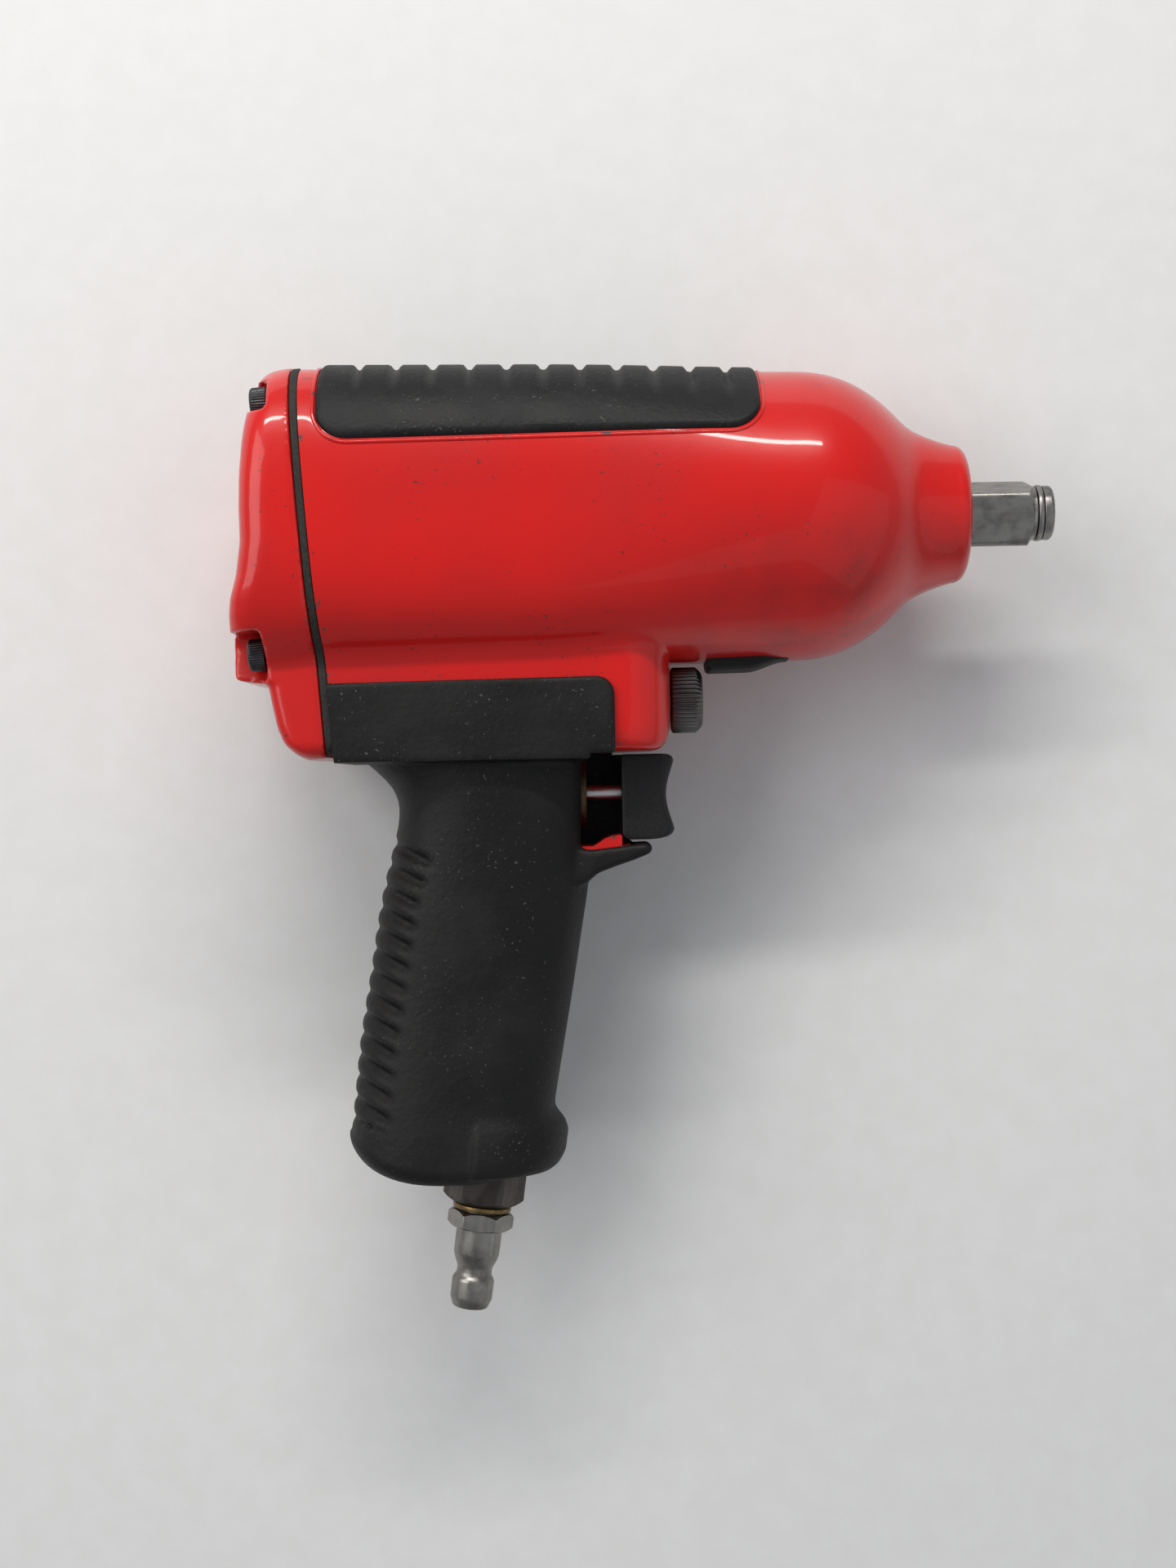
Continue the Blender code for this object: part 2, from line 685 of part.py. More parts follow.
def grip_form():
    """Grip skin: its rings lean and dip at the back to form the slanted grooves."""
    front = [math.radians(a) for a in (0.0, 26.0, 52.0, 78.0, 100.0)]
    back = [math.radians(180.0 - a) for a in (60.0, 44.0, 30.0, 18.0, 8.0)]
    side = front + back
    angles = side + [math.pi] + [math.tau - a for a in reversed(side[1:])]
    slope = math.tan(math.radians(GRIP_GROOVE_SLOPE))
    levels = [(HANDLE_TOP, 0.0), (-57.0, 0.0), (-59.5, 0.0), (-63.5, 0.0), (-69.0, 0.0)]
    for i in range(GRIP_GROOVES):
        middle = GRIP_GROOVE_FIRST - i * GRIP_GROOVE_PITCH
        half = GRIP_GROOVE_HALF
        levels += [(middle + half, 0.0), (middle, 1.0), (middle - half, 0.0)]
    last = levels[-1][0]
    edge = 4.0
    rings = []
    for level, dent in levels:
        ring = []
        share = (level - HANDLE_TOP) / (last - HANDLE_TOP)
        for angle in angles:
            x = handle_point(level, angle)[0]
            ahead = x - along_points(HANDLE_BACK_LINE, level)
            lean = slope * min(ahead, 12.0) * smoothstep(share, 0.05, 0.25) * (1 - smoothstep(share, 0.75, 1.0))
            depth = dent * GRIP_GROOVE_DEPTH * (1 - smoothstep(ahead, 5.0, 11.0))
            ring.append(handle_point(level - lean, angle, depth))
        rings.append(ring)
    for turn in (0.0, 30.0, 60.0, 90.0):
        t = math.radians(turn)
        ring = []
        for angle in angles:
            x, _, z = handle_point(-145.0, angle, edge * (1 - math.cos(t)))
            ring.append((x, bottom_of_grip(x) + edge * (1 - math.sin(t)), z))
        rings.append(ring)
    return loft(rings)


def toe_form():
    """Forward lip at the bottom of the grip."""
    rings = []
    for y, reach in ((-132.4, 0.3), (-134.2, 1.4), (-136.4, 4.0), (-139.0, 5.2), (-143.5, 5.0), (-146.0, 3.8), (-147.0, 2.0)):
        ring = []
        for k in range(-8, 9):
            angle = math.radians(9.0 * k)
            x, _, z = handle_point(y, angle, -reach * (0.25 + 0.75 * math.cos(angle) ** 2))
            ring.append((x, y, z))
        ring += [(-136.0, y, ring[-1][2] - 3.0), (-136.0, y, ring[0][2] + 3.0)]
        rings.append(ring)
    return loft(rings)


def side_pad_form():
    """Upper part of the grip: it wraps both sides and the bottom of the block."""
    half = BLOCK_HALF + SIDE_PAD_THICK
    front = [(SIDE_PAD_FRONT, -52.6)] + arc((SIDE_PAD_FRONT - 4.0, SIDE_PAD_TOP - 4.0), 4.0, 0.0, 90.0, 6)
    outline = front + [(JOINT_X + 2.6, SIDE_PAD_TOP - 0.8), (JOINT_X + 4.2, HANDLE_TOP - 0.3), (SIDE_PAD_FRONT - 6.0, HANDLE_TOP - 0.3), (SIDE_PAD_FRONT - 5.2, -52.6)]
    rings = []
    for z, inset in ((-half, 0.8), (-half + 0.8, 0.0), (half - 0.8, 0.0), (half, 0.8)):
        middle = (-134.0, -47.0)
        ring = []
        for x, y in outline:
            away = Vector((x - middle[0], y - middle[1]))
            shrunk = away * (1 - inset / max(away.length, 1.0))
            ring.append((middle[0] + shrunk.x, middle[1] + shrunk.y, z))
        rings.append(ring)
    return loft(rings)


def guard_form():
    """Lip of the grip under the trigger. Its view is set out from its tip and the window above it."""
    view = [
        (GUARD_ROOT_X, 1.4, 0.0),
        (GUARD_TIP_X - 6.8, -0.2, 0.0),
        (GUARD_TIP_X - 1.8, -0.8, 0.0),
        (GUARD_TIP_X, -1.9, 0.0),
        (GUARD_TIP_X - 1.0, -3.4, 0.5),
        (GUARD_TIP_X - 8.3, -6.1, 1.0),
        (GUARD_TIP_X - 13.3, -8.8, 1.0),
        (GUARD_ROOT_X, -11.6, 1.0),
    ]
    half = [(1.0, 1.6), (0.857, 0.5), (0.476, 0.0)]
    sections = [(-share, low) for share, low in half] + [(share, low) for share, low in reversed(half)]
    rings = []
    for share, low in sections:
        ring = []
        for x, drop, lift in view:
            back = low if GUARD_TIP_X - 2.0 < x else 0.0
            ring.append((x - back, WINDOW_BOTTOM + drop + lift * low, GUARD_HALF * share))
        rings.append(ring)
    return loft(rings)


def build_grip(mat):
    grip = make_object("handle_grip", grip_form(), mat)
    join(grip, side_pad_form())
    join(grip, guard_form())
    join(grip, toe_form())
    window = block((WINDOW_BACK, WINDOW_BOTTOM, -FAR), (FAR, HANDLE_TOP + 6.0, FAR))
    cut(grip, window)
    wall_low = (WINDOW_BACK - 12.0, WINDOW_BOTTOM - 2.0, -MOUTH_HALF - WELL_WALL)
    wall_high = (WINDOW_BACK + WELL_WALL_LENGTH, BLOCK_BOTTOM + 1.0, -MOUTH_HALF + 1.0)
    join(grip, block(wall_low, wall_high))
    inner = core_form(GAP)
    cut(grip, inner)
    side = BLOCK_HALF + GAP
    cut(grip, block((-FAR, BLOCK_BOTTOM - GAP, -side), (SIDE_PAD_FRONT + 10.0, -20.0, side)))
    cut(grip, prism(ledge_outline(GAP), -LEDGE_HALF - GAP, LEDGE_HALF + GAP))
    mouth = block((WINDOW_BACK - 9.0, WINDOW_BOTTOM + 1.0, -MOUTH_HALF), (FAR, HANDLE_TOP + 5.0, MOUTH_HALF))
    cut(grip, mouth)
    rear = moved(block((-FAR, -FAR, -FAR), (GAP, FAR, FAR)), joint_matrix())
    cut(grip, rear)
    return grip


# Rear cover, its gasket and its screws, in the frame of the joint plane

# Heights down the back of the cover and how far it stands behind the joint there
COVER_TOP = BARREL_REAR_R + COVER_PROUD
COVER_BOTTOM = BLOCK_BOTTOM - COVER_OVERHANG
COVER_DEPTH_LINE = [
    (COVER_TOP, 4.2),
    (COVER_TOP - 0.9, 5.2),
    (COVER_TOP - 3.0, 6.6),
    (COVER_TOP - 7.1, 8.6),
    (COVER_TOP - 11.8, 9.9),
    (13.0, 12.1),
    (0.0, 13.0),
    (-10.9, 16.0),
    (-17.2, 18.0),
    (-22.5, 17.9),
    (-34.0, 17.2),
    (-35.0, 16.6),
    (-35.6, 11.2),
    (COVER_BOTTOM + 8.1, 10.9),
    (COVER_BOTTOM + 4.0, 9.8),
    (COVER_BOTTOM + 1.2, 7.8),
    (COVER_BOTTOM, 5.4),
]


def cover_half_width(y):
    """Half width of the rear cover's outline: barrel above, block below."""
    upper = barrel_half_width(BARREL_REAR_X, y) if y > -BARREL_REAR_R else 0.0
    lower = 0.0
    if y < -15.0:
        rise = max(COVER_BOTTOM + BLOCK_EDGE - y, 0.0)
        lower = BLOCK_HALF + COVER_PROUD - (BLOCK_EDGE - math.sqrt(max(BLOCK_EDGE**2 - rise**2, 0.0)))
    return max(upper, lower, 9.0)


def cover_levels():
    levels = [y for y, _ in COVER_DEPTH_LINE]
    return sorted(levels + [19.0, 7.0, -28.0, -40.0])


def gasket_outline(inset=0.0):
    levels = cover_levels()
    right = [(y, cover_half_width(y) - inset) for y in levels]
    return right + [(y, -z) for y, z in reversed(right)]


def cover_form():
    rings = []
    for y in cover_levels():
        depth = along_points(COVER_DEPTH_LINE, y)
        half = cover_half_width(y)
        edge = min(COVER_EDGE_R, depth - GASKET - 2 * GAP - 1.0, half - 2.0)
        corner = arc((half - edge, depth - edge), edge, 0.0, 90.0, 5)
        right = [(half, GASKET + 2 * GAP)] + corner
        section = right + [(-z, d) for z, d in reversed(right)]
        rings.append([(-d, y, z) for z, d in section])
    return loft(rings)


def build_rear_group(mats):
    """Gasket, cover and screws share an empty that stands on the joint plane."""
    stand = bpy.data.objects.new("rear_joint", None)
    stand.location = Vector((JOINT_X, 0.0, 0.0)) * MM
    stand.rotation_euler = (0.0, 0.0, math.radians(JOINT_LEAN))
    bpy.context.scene.collection.objects.link(stand)

    outline = gasket_outline(0.4)
    gasket = make_object("rear_gasket", prism(outline, -GAP - GASKET, -GAP, "X"), mats["rubber"])
    gasket.parent = stand
    cut(gasket, rod(5.0, -10.0, MOTOR_BORE_R - 1.2, LARGE_SIDES))
    for y, z in screw_places():
        cut(gasket, rod(5.0, -10.0, SCREW_SHANK_R + GAP, SMALL_SIDES, (y, z)))

    cover = make_object("rear_cover", cover_form(), mats["paint"])
    cover.parent = stand
    into_joint = joint_matrix().inverted()
    spigot = rod(REAR_PLATE_BACK - GAP, JOINT_X - 8.0, MOTOR_BORE_R - 2.2, LARGE_SIDES)
    join(cover, moved(spigot, into_joint))
    hollow = rod(REAR_PLATE_BACK + 5.0, JOINT_X - 5.0, SPIGOT_BORE_R, MEDIUM_SIDES)
    cut(cover, moved(hollow, into_joint))
    slab = -GASKET - 2 * GAP - COVER_SLAB
    for side in (1, -1):
        low_pocket = sorted((side * (SCREW_Z_DOWN - SCREW_HEAD_R - 1.2), side * FAR))
        high_pocket = sorted((side * (SCREW_Z_UP - SCREW_HEAD_R - POCKET_ROOM), side * FAR))
        low_top = SCREW_Y_DOWN + SCREW_HEAD_R + 1.6
        high_floor = SCREW_Y_UP - SCREW_HEAD_R - POCKET_ROOM
        high_top = SCREW_Y_UP + SCREW_HEAD_R + POCKET_ROOM
        cut(cover, block((-FAR, -38.0, low_pocket[0]), (slab, low_top, low_pocket[1])))
        cut(cover, block((-FAR, high_floor, high_pocket[0]), (slab + UPPER_POCKET, high_top, high_pocket[1])))
    for y, z in screw_places():
        cut(cover, rod(SCREW_REACH + 1.0, -FAR, SCREW_SHANK_R + GAP, SMALL_SIDES, (y, z)))

    for number, (y, z) in enumerate(screw_places(), 1):
        seat = slab - GAP if y < 0 else slab + UPPER_POCKET - GAP
        build_screw(f"cover_screw_{number}", seat, y, z, stand, mats["black_steel"])
    return stand


def build_screw(name, seat, y, z, stand, mat):
    """Cap screw whose head sits on the cover and whose shank enters the casting."""
    end = SCREW_REACH - 1.0
    profile = [
        (end, 0.0),
        (end, SCREW_SHANK_R),
        (seat, SCREW_SHANK_R),
        (seat, SCREW_HEAD_R),
        (seat - SCREW_HEAD + 0.5, SCREW_HEAD_R),
        (seat - SCREW_HEAD, SCREW_HEAD_R - 0.5),
        (seat - SCREW_HEAD, 0.0),
    ]
    screw = make_object(name, turned(profile, SMALL_SIDES, (y, z)), mat, (seat, y, z))
    screw.parent = stand
    cut(screw, rod(seat - SCREW_HEAD - 1.0, seat - SCREW_HEAD + 2.2, HEX_KEY_R, 6, (y, z)))
    return screw


# Anvil group


def square_ring(x):
    """Section of the square drive, turned as in the photograph's stopped position."""
    half = DRIVE_SQUARE / 2
    points = []
    for quarter in range(4):
        start = quarter * 90.0
        corner = arc((half - DRIVE_CORNER, half - DRIVE_CORNER), DRIVE_CORNER, 0.0, 90.0, 4)
        turn = math.radians(start + DRIVE_TURN)
        for y, z in corner:
            points.append((x, y * math.cos(turn) - z * math.sin(turn), y * math.sin(turn) + z * math.cos(turn)))
    return points


def jaw_form(near, far, start, end):
    """Impact jaw: a sector standing out from the anvil's body."""
    outline = arc((0.0, 0.0), ANVIL_JAW_R, start, end, 5)
    inner = arc((0.0, 0.0), ANVIL_BODY_R - 2.5, end, start, 2)
    return prism(outline + inner, near, far, "X")


def build_anvil(mats):
    groove_back = RING_GROOVE_FRONT + RING_GROOVE_WIDTH
    collar = FRAME_FRONT_X + GAP
    body_end = FRAME_REAR_X + GAP
    profile = [
        (0.0, 0.0),
        (0.0, DRIVE_LAND_R - 0.6),
        (-0.6, DRIVE_LAND_R),
        (-RING_GROOVE_FRONT, DRIVE_LAND_R),
        (-RING_GROOVE_FRONT, DRIVE_LAND_R - RING_GROOVE_DEPTH),
        (-groove_back, DRIVE_LAND_R - RING_GROOVE_DEPTH),
        (-groove_back, DRIVE_LAND_R),
        (-DRIVE_LAND - 3.0, DRIVE_LAND_R),
        (-DRIVE_LAND - 3.0, 0.0),
    ]
    anvil = make_object("anvil", turned(profile, MEDIUM_SIDES), mats["steel"])
    square = loft([square_ring(-DRIVE_LAND), square_ring(-DRIVE_LENGTH - 1.0)])
    join(anvil, square)
    shaft = [
        (-DRIVE_LENGTH, 0.0),
        (-DRIVE_LENGTH, SHANK_R - 0.8),
        (-DRIVE_LENGTH - 0.8, SHANK_R),
        (collar + 2.5, SHANK_R),
        (collar + 2.5, ANVIL_BODY_R + 1.7),
        (collar, ANVIL_BODY_R + 1.7),
        (collar, ANVIL_BODY_R),
        (body_end, ANVIL_BODY_R),
        (body_end, ANVIL_PILOT_R),
        (body_end - ANVIL_PILOT, ANVIL_PILOT_R),
        (body_end - ANVIL_PILOT, 0.0),
    ]
    join(anvil, turned(shaft, LARGE_SIDES))
    front_jaw = jaw_form(HAMMER_1_X - 0.5, HAMMER_1_X - HAMMER_THICK + 0.5, -90 + ANVIL_JAW_FROM, -90 + ANVIL_JAW_TO)
    rear_jaw = jaw_form(HAMMER_2_X - 0.5, HAMMER_2_X - HAMMER_THICK + 0.5, 90 + ANVIL_JAW_FROM, 90 + ANVIL_JAW_TO)
    join(anvil, front_jaw)
    join(anvil, rear_jaw)

    inner = DRIVE_LAND_R - RING_GROOVE_DEPTH
    build_drive_ring("drive_o_ring", inner + PRESS, 0.45, mats["rubber"])
    build_drive_ring("socket_ring", inner + PRESS + 0.65, 0.85, mats["steel"], gap=True)

    bush_front = NOSE_X - 2.5 - GAP
    bush_back = collar + 2.5 + GAP
    bush_profile = [
        (bush_front, SHANK_R + RUN),
        (bush_front, BUSH_BORE_R - PRESS),
        (bush_back, BUSH_BORE_R - PRESS),
        (bush_back, SHANK_R + RUN),
    ]
    make_object("anvil_bush", turned(bush_profile, MEDIUM_SIDES), mats["bronze"])


def build_drive_ring(name, inner, wall, mat, gap=False):
    """Retaining ring, or the soft ring under it, inside the groove near the drive's end."""
    front = -RING_GROOVE_FRONT - 0.15
    back = -RING_GROOVE_FRONT - RING_GROOVE_WIDTH + 0.15
    profile = [(front, inner), (front, inner + wall), (back, inner + wall), (back, inner)]
    ring = make_object(name, turned(profile, MEDIUM_SIDES), mat)
    if gap:
        cut(ring, block((-10.0, 0.0, -0.7), (5.0, 12.0, 0.7)))
    return ring


# Hammer mechanism


def web_face():
    """Inner face of the cage's side webs, clear of a hammer at the end of its swing."""
    swing = math.radians(HAMMER_SWING)
    face = HAMMER_HALF
    for _ in range(12):
        web_half = math.sqrt(WEB_R**2 - face**2)
        face = HAMMER_HALF * math.cos(swing) + (PIN_Y + web_half) * math.sin(swing) + 2 * GAP
    return face


def build_hammer_frame(mats):
    """Cage that carries both hammers on pins and is driven by the rotor's splined end."""
    bore = ANVIL_BODY_R + 0.5
    front = FRAME_FRONT_X
    plate = [(front, bore), (front, FRAME_R), (front - FRAME_FRONT_PLATE, FRAME_R), (front - FRAME_FRONT_PLATE, bore)]
    frame = make_object("hammer_frame", turned(plate, LARGE_SIDES), mats["dark_steel"])
    back = [
        (FRAME_REAR_X, ANVIL_PILOT_R + RUN),
        (FRAME_REAR_X, FRAME_R),
        (FRAME_BACK_X, FRAME_R),
        (FRAME_BACK_X, SPLINE_BOSS_R),
        (FRAME_BACK_X - SPLINE_BOSS, SPLINE_BOSS_R),
        (FRAME_BACK_X - SPLINE_BOSS, SHAFT_R + 1.2),
        (FRAME_REAR_X - ANVIL_PILOT - 2 * GAP, SHAFT_R + 1.2),
        (FRAME_REAR_X - ANVIL_PILOT - 2 * GAP, ANVIL_PILOT_R + RUN),
    ]
    join(frame, turned(back, LARGE_SIDES))
    spread = math.degrees(math.acos(web_face() / WEB_R))
    for middle in (90.0, -90.0):
        outline = arc((0.0, 0.0), WEB_R, middle - spread, middle + spread, 7)
        join(frame, prism(outline, front - 1.0, FRAME_REAR_X - 1.0, "X"))
    for y in (PIN_Y, -PIN_Y):
        cut(frame, rod(front - 1.2, FRAME_BACK_X - 5.0, PIN_R + PRESS, SMALL_SIDES, (y, 0.0)))
    return frame


def hammer_outline():
    """Outline of a hammer: a disc with its two sides cut flat, in (y, z)."""
    start = math.degrees(math.asin(HAMMER_HALF / HAMMER_R))
    right = arc((0.0, 0.0), HAMMER_R, start, -start, 7)
    left = arc((0.0, 0.0), HAMMER_R, 180 + start, 180 - start, 7)
    return right + left


def build_hammers(mats):
    """Each hammer hangs on one pin and has a wide notch round the other, which stops its swing."""
    for name, front, side in (("hammer_front", HAMMER_1_X, 1), ("hammer_rear", HAMMER_2_X, -1)):
        back = front - HAMMER_THICK
        pivot = side * PIN_Y
        hammer = make_object(name, prism(hammer_outline(), front, back, "X"), mats["steel"], (front, pivot, 0.0))
        cut(hammer, rod(front + 1, back - 1, PIN_R + RUN, SMALL_SIDES, (pivot, 0.0)))
        swing = math.radians(HAMMER_SWING)
        sweep = 2 * PIN_Y * math.sin(swing)
        notch = PIN_R + 1.0
        low, high = (-sweep - notch, notch) if side < 0 else (-notch, sweep + notch)
        far = -side * (HAMMER_R + 2.0)
        near = -side * (PIN_Y - notch)
        cut(hammer, block((back - 1, min(far, near), low), (front + 1, max(far, near), high)))
        cut(hammer, rod(front + 1, back - 1, HAMMER_CAVITY_R, LARGE_SIDES))


def build_pins(mats):
    for number, y in enumerate((PIN_Y, -PIN_Y), 1):
        front = FRAME_FRONT_X - 1.2 - GAP
        back = FRAME_BACK_X
        profile = [(front, 0), (front, PIN_R - 0.5), (front - 0.5, PIN_R), (back + 0.5, PIN_R), (back, PIN_R - 0.5), (back, 0)]
        make_object(f"hammer_pin_{number}", turned(profile, SMALL_SIDES, (y, 0.0)), mats["steel"], (front, y, 0.0))


# Air motor


def build_end_plate(name, front, pocket_front, mat):
    """Disc that closes the cylinder and holds a ball bearing in a pocket."""
    back = front - PLATE_THICK
    pocket_r = BEARING_R + PRESS
    hole = SHAFT_R + 1.6
    floor = 1.2
    if pocket_front:
        profile = [(front, pocket_r), (front, MOTOR_R), (back, MOTOR_R), (back, hole), (back + floor, hole), (back + floor, pocket_r)]
    else:
        profile = [(back, pocket_r), (back, MOTOR_R), (front, MOTOR_R), (front, hole), (front - floor, hole), (front - floor, pocket_r)]
    plate = make_object(name, turned(profile, LARGE_SIDES), mat)
    cut(plate, rod(front + 1, back - 1, DOWEL_R + PRESS, 8, (DOWEL_Y, 0.0)))
    return plate


def build_bearing(name, front, mats):
    """Deep-groove ball bearing as outer race, inner race and a caged set of balls."""
    back = front - BEARING_WIDTH
    middle = (front + back) / 2
    track = BALL_R + 0.45
    out_r = BEARING_PITCH_R + 1.1
    in_r = BEARING_PITCH_R - 1.1
    start = math.degrees(math.asin(1.1 / track))
    groove_out = arc((middle, BEARING_PITCH_R), track, 180 - start, start, 3)
    outer = [(back, out_r), (back, BEARING_R), (front, BEARING_R), (front, out_r)] + list(reversed(groove_out))
    groove_in = arc((middle, BEARING_PITCH_R), track, -180 + start, -start, 3)
    inner = [(back, in_r), (back, BEARING_BORE_R), (front, BEARING_BORE_R), (front, in_r)] + list(reversed(groove_in))
    make_object(f"{name}_outer_race", turned(outer, MEDIUM_SIDES), mats["steel"])
    make_object(f"{name}_inner_race", turned(inner, MEDIUM_SIDES), mats["steel"])
    wall = 0.7
    cage = [(middle + 0.9, BEARING_PITCH_R - wall), (middle + 0.9, BEARING_PITCH_R + wall), (middle - 0.9, BEARING_PITCH_R + wall), (middle - 0.9, BEARING_PITCH_R - wall)]
    balls = make_object(f"{name}_balls", turned(cage, 2 * BALLS), mats["steel"])
    row = bmesh.new()
    for i in range(BALLS):
        angle = math.tau * i / BALLS
        place = Matrix.Translation((middle, BEARING_PITCH_R * math.cos(angle), BEARING_PITCH_R * math.sin(angle)))
        bmesh.ops.create_uvsphere(row, u_segments=6, v_segments=4, radius=BALL_R, matrix=place)
    join(balls, row)


def build_motor(mats):
    build_end_plate("front_end_plate", FRONT_PLATE_X, True, mats["dark_steel"])
    build_end_plate("rear_end_plate", REAR_PLATE_X, False, mats["dark_steel"])
    build_bearing("front_bearing", FRONT_PLATE_X - GAP, mats)
    build_bearing("rear_bearing", REAR_PLATE_X - 1.2 - GAP, mats)

    back = CYLINDER_X - CYLINDER_LENGTH
    cylinder = make_object("motor_cylinder", rod(CYLINDER_X, back, MOTOR_R, LARGE_SIDES), mats["dark_steel"])
    bore = rod(CYLINDER_X + 1, back - 1, CYLINDER_BORE_R, LARGE_SIDES, (CYLINDER_OFFSET, 0.0))
    cut(cylinder, bore)
    cut(cylinder, rod(CYLINDER_X + 1, back - 1, DOWEL_R + PRESS, 8, (DOWEL_Y, 0.0)))
    for side in (1, -1):
        for place in (0.25, 0.5, 0.75):
            x = CYLINDER_X - CYLINDER_LENGTH * place
            inside = (x, -6.0, side * (CYLINDER_BORE_R - 3.8))
            outside = (x, -14.0, side * (MOTOR_R + 4.5))
            cut(cylinder, tube_between(inside, outside, 2.4, 6))

    dowel_front = FRONT_PLATE_X - 1.0
    make_object("motor_dowel", rod(dowel_front, REAR_PLATE_BACK + 1.0, DOWEL_R, 8, (DOWEL_Y, 0.0)), mats["steel"])

    face = CYLINDER_X - GAP
    rear = back + GAP
    nose = FRAME_REAR_X - ANVIL_PILOT - 3 * GAP
    shaft = [
        (nose, 0.0),
        (nose, SHAFT_R + 0.8),
        (FRONT_PLATE_X + GAP, SHAFT_R + 0.8),
        (FRONT_PLATE_X + GAP, SHAFT_R),
        (face, SHAFT_R),
        (face, ROTOR_R),
        (rear, ROTOR_R),
        (rear, SHAFT_R),
        (REAR_PLATE_BACK, SHAFT_R),
        (REAR_PLATE_BACK, 0.0),
    ]
    rotor = make_object("rotor", turned(shaft, LARGE_SIDES), mats["steel"])
    floor = ROTOR_R - VANE_DEPTH
    for i in range(VANES):
        turn = Matrix.Rotation(math.tau * i / VANES, 4, "X")
        slot = block((rear - 1, floor, -VANE_SLOT / 2), (face + 1, ROTOR_R + 3.0, VANE_SLOT / 2))
        cut(rotor, moved(slot, turn))
    for i in range(VANES):
        turn = Matrix.Rotation(math.tau * i / VANES, 4, "X")
        outline = [(floor + GAP, -VANE_THICK / 2), (ROTOR_R - 0.5, -VANE_THICK / 2), (ROTOR_R - 0.1, 0.0), (ROTOR_R - 0.5, VANE_THICK / 2), (floor + GAP, VANE_THICK / 2)]
        vane = prism(outline, face - GAP, rear + GAP, "X")
        make_object(f"vane_{i + 1}", moved(vane, turn), mats["vane"])


# Trigger, throttle and regulator


def trigger_outline():
    """Side view of the trigger with its hollow front."""
    middle = (TRIGGER_TOP + TRIGGER_BOTTOM) / 2
    half = (TRIGGER_TOP - TRIGGER_BOTTOM) / 2
    front = []
    for i in range(9):
        y = TRIGGER_BOTTOM + 1.6 + (2 * half - 2.6) * i / 8
        hollow = 2.1 * (1 - ((y - middle) / half) ** 2)
        front.append((TRIGGER_FRONT - hollow, y))
    return [(TRIGGER_BACK, TRIGGER_TOP), (TRIGGER_BACK, TRIGGER_BOTTOM + 0.9), (TRIGGER_BACK + 1.0, TRIGGER_BOTTOM), (TRIGGER_FRONT - 3.2, TRIGGER_BOTTOM)] + front + [(TRIGGER_FRONT - 1.8, TRIGGER_TOP)]


def build_trigger(mats):
    outline = trigger_outline()
    rings = []
    for z, inset in ((-TRIGGER_HALF, 1.4), (-TRIGGER_HALF + 0.5, 0.5), (-TRIGGER_HALF + 1.6, 0.0), (TRIGGER_HALF - 1.6, 0.0), (TRIGGER_HALF - 0.5, 0.5), (TRIGGER_HALF, 1.4)):
        ring = []
        for x, y in outline:
            ahead = smoothstep(x, TRIGGER_BACK + 2.0, TRIGGER_FRONT)
            ring.append((x - inset * ahead, y, z))
        rings.append(ring)
    trigger = make_object("trigger", loft(rings), mats["plastic"], (TRIGGER_BACK, VALVE_Y, 0.0))
    cut(trigger, rod(TRIGGER_BACK + 6.0, TRIGGER_BACK - 2.0, STEM_R + GAP, 12, (VALVE_Y, 0.0)))

    stem_back = WINDOW_BACK - 1.0 - THROTTLE_BUSH - 0.2
    stem_front = TRIGGER_BACK + 6.0 - GAP
    stem = [(stem_front, 0.0), (stem_front, STEM_R), (stem_back + 0.4, STEM_R), (stem_back, STEM_R - 0.4), (stem_back, 0.0)]
    make_object("trigger_stem", turned(stem, 14, (VALVE_Y, 0.0)), mats["chrome"], (stem_front, VALVE_Y, 0.0))

    bush_front = WINDOW_BACK - 1.0
    bush_back = bush_front - THROTTLE_BUSH
    bush = [(bush_front, STEM_R + RUN), (bush_front, CHAMBER_R - PRESS), (bush_back, CHAMBER_R - PRESS), (bush_back, STEM_R + RUN)]
    make_object("throttle_bush", turned(bush, MEDIUM_SIDES, (VALVE_Y, 0.0)), mats["bronze"])

    seat = pipe(SEAT_X, SEAT_X - SEAT_THICK, CHAMBER_R - PRESS, SEAT_BORE_R, MEDIUM_SIDES, (VALVE_Y, 0.0))
    make_object("throttle_seat", seat, mats["rubber"])

    head_front = SEAT_X - SEAT_THICK - GAP
    valve = [
        (stem_back - GAP, 0.0),
        (stem_back - GAP, 1.6),
        (head_front + 1.4, 2.0),
        (head_front + 1.4, SEAT_BORE_R - 1.0),
        (head_front, SEAT_BORE_R - 0.8),
        (head_front, VALVE_HEAD_R),
        (head_front - VALVE_HEAD, VALVE_HEAD_R),
        (head_front - VALVE_HEAD, SPRING_R - 1.2),
        (head_front - VALVE_HEAD - 2.0, SPRING_R - 1.4),
        (head_front - VALVE_HEAD - 2.0, 0.0),
    ]
    make_object("throttle_valve", turned(valve, SMALL_SIDES, (VALVE_Y, 0.0)), mats["bronze"], (head_front, VALVE_Y, 0.0))

    build_spring(head_front - VALVE_HEAD - GAP, CHAMBER_END + GAP, mats["steel"])


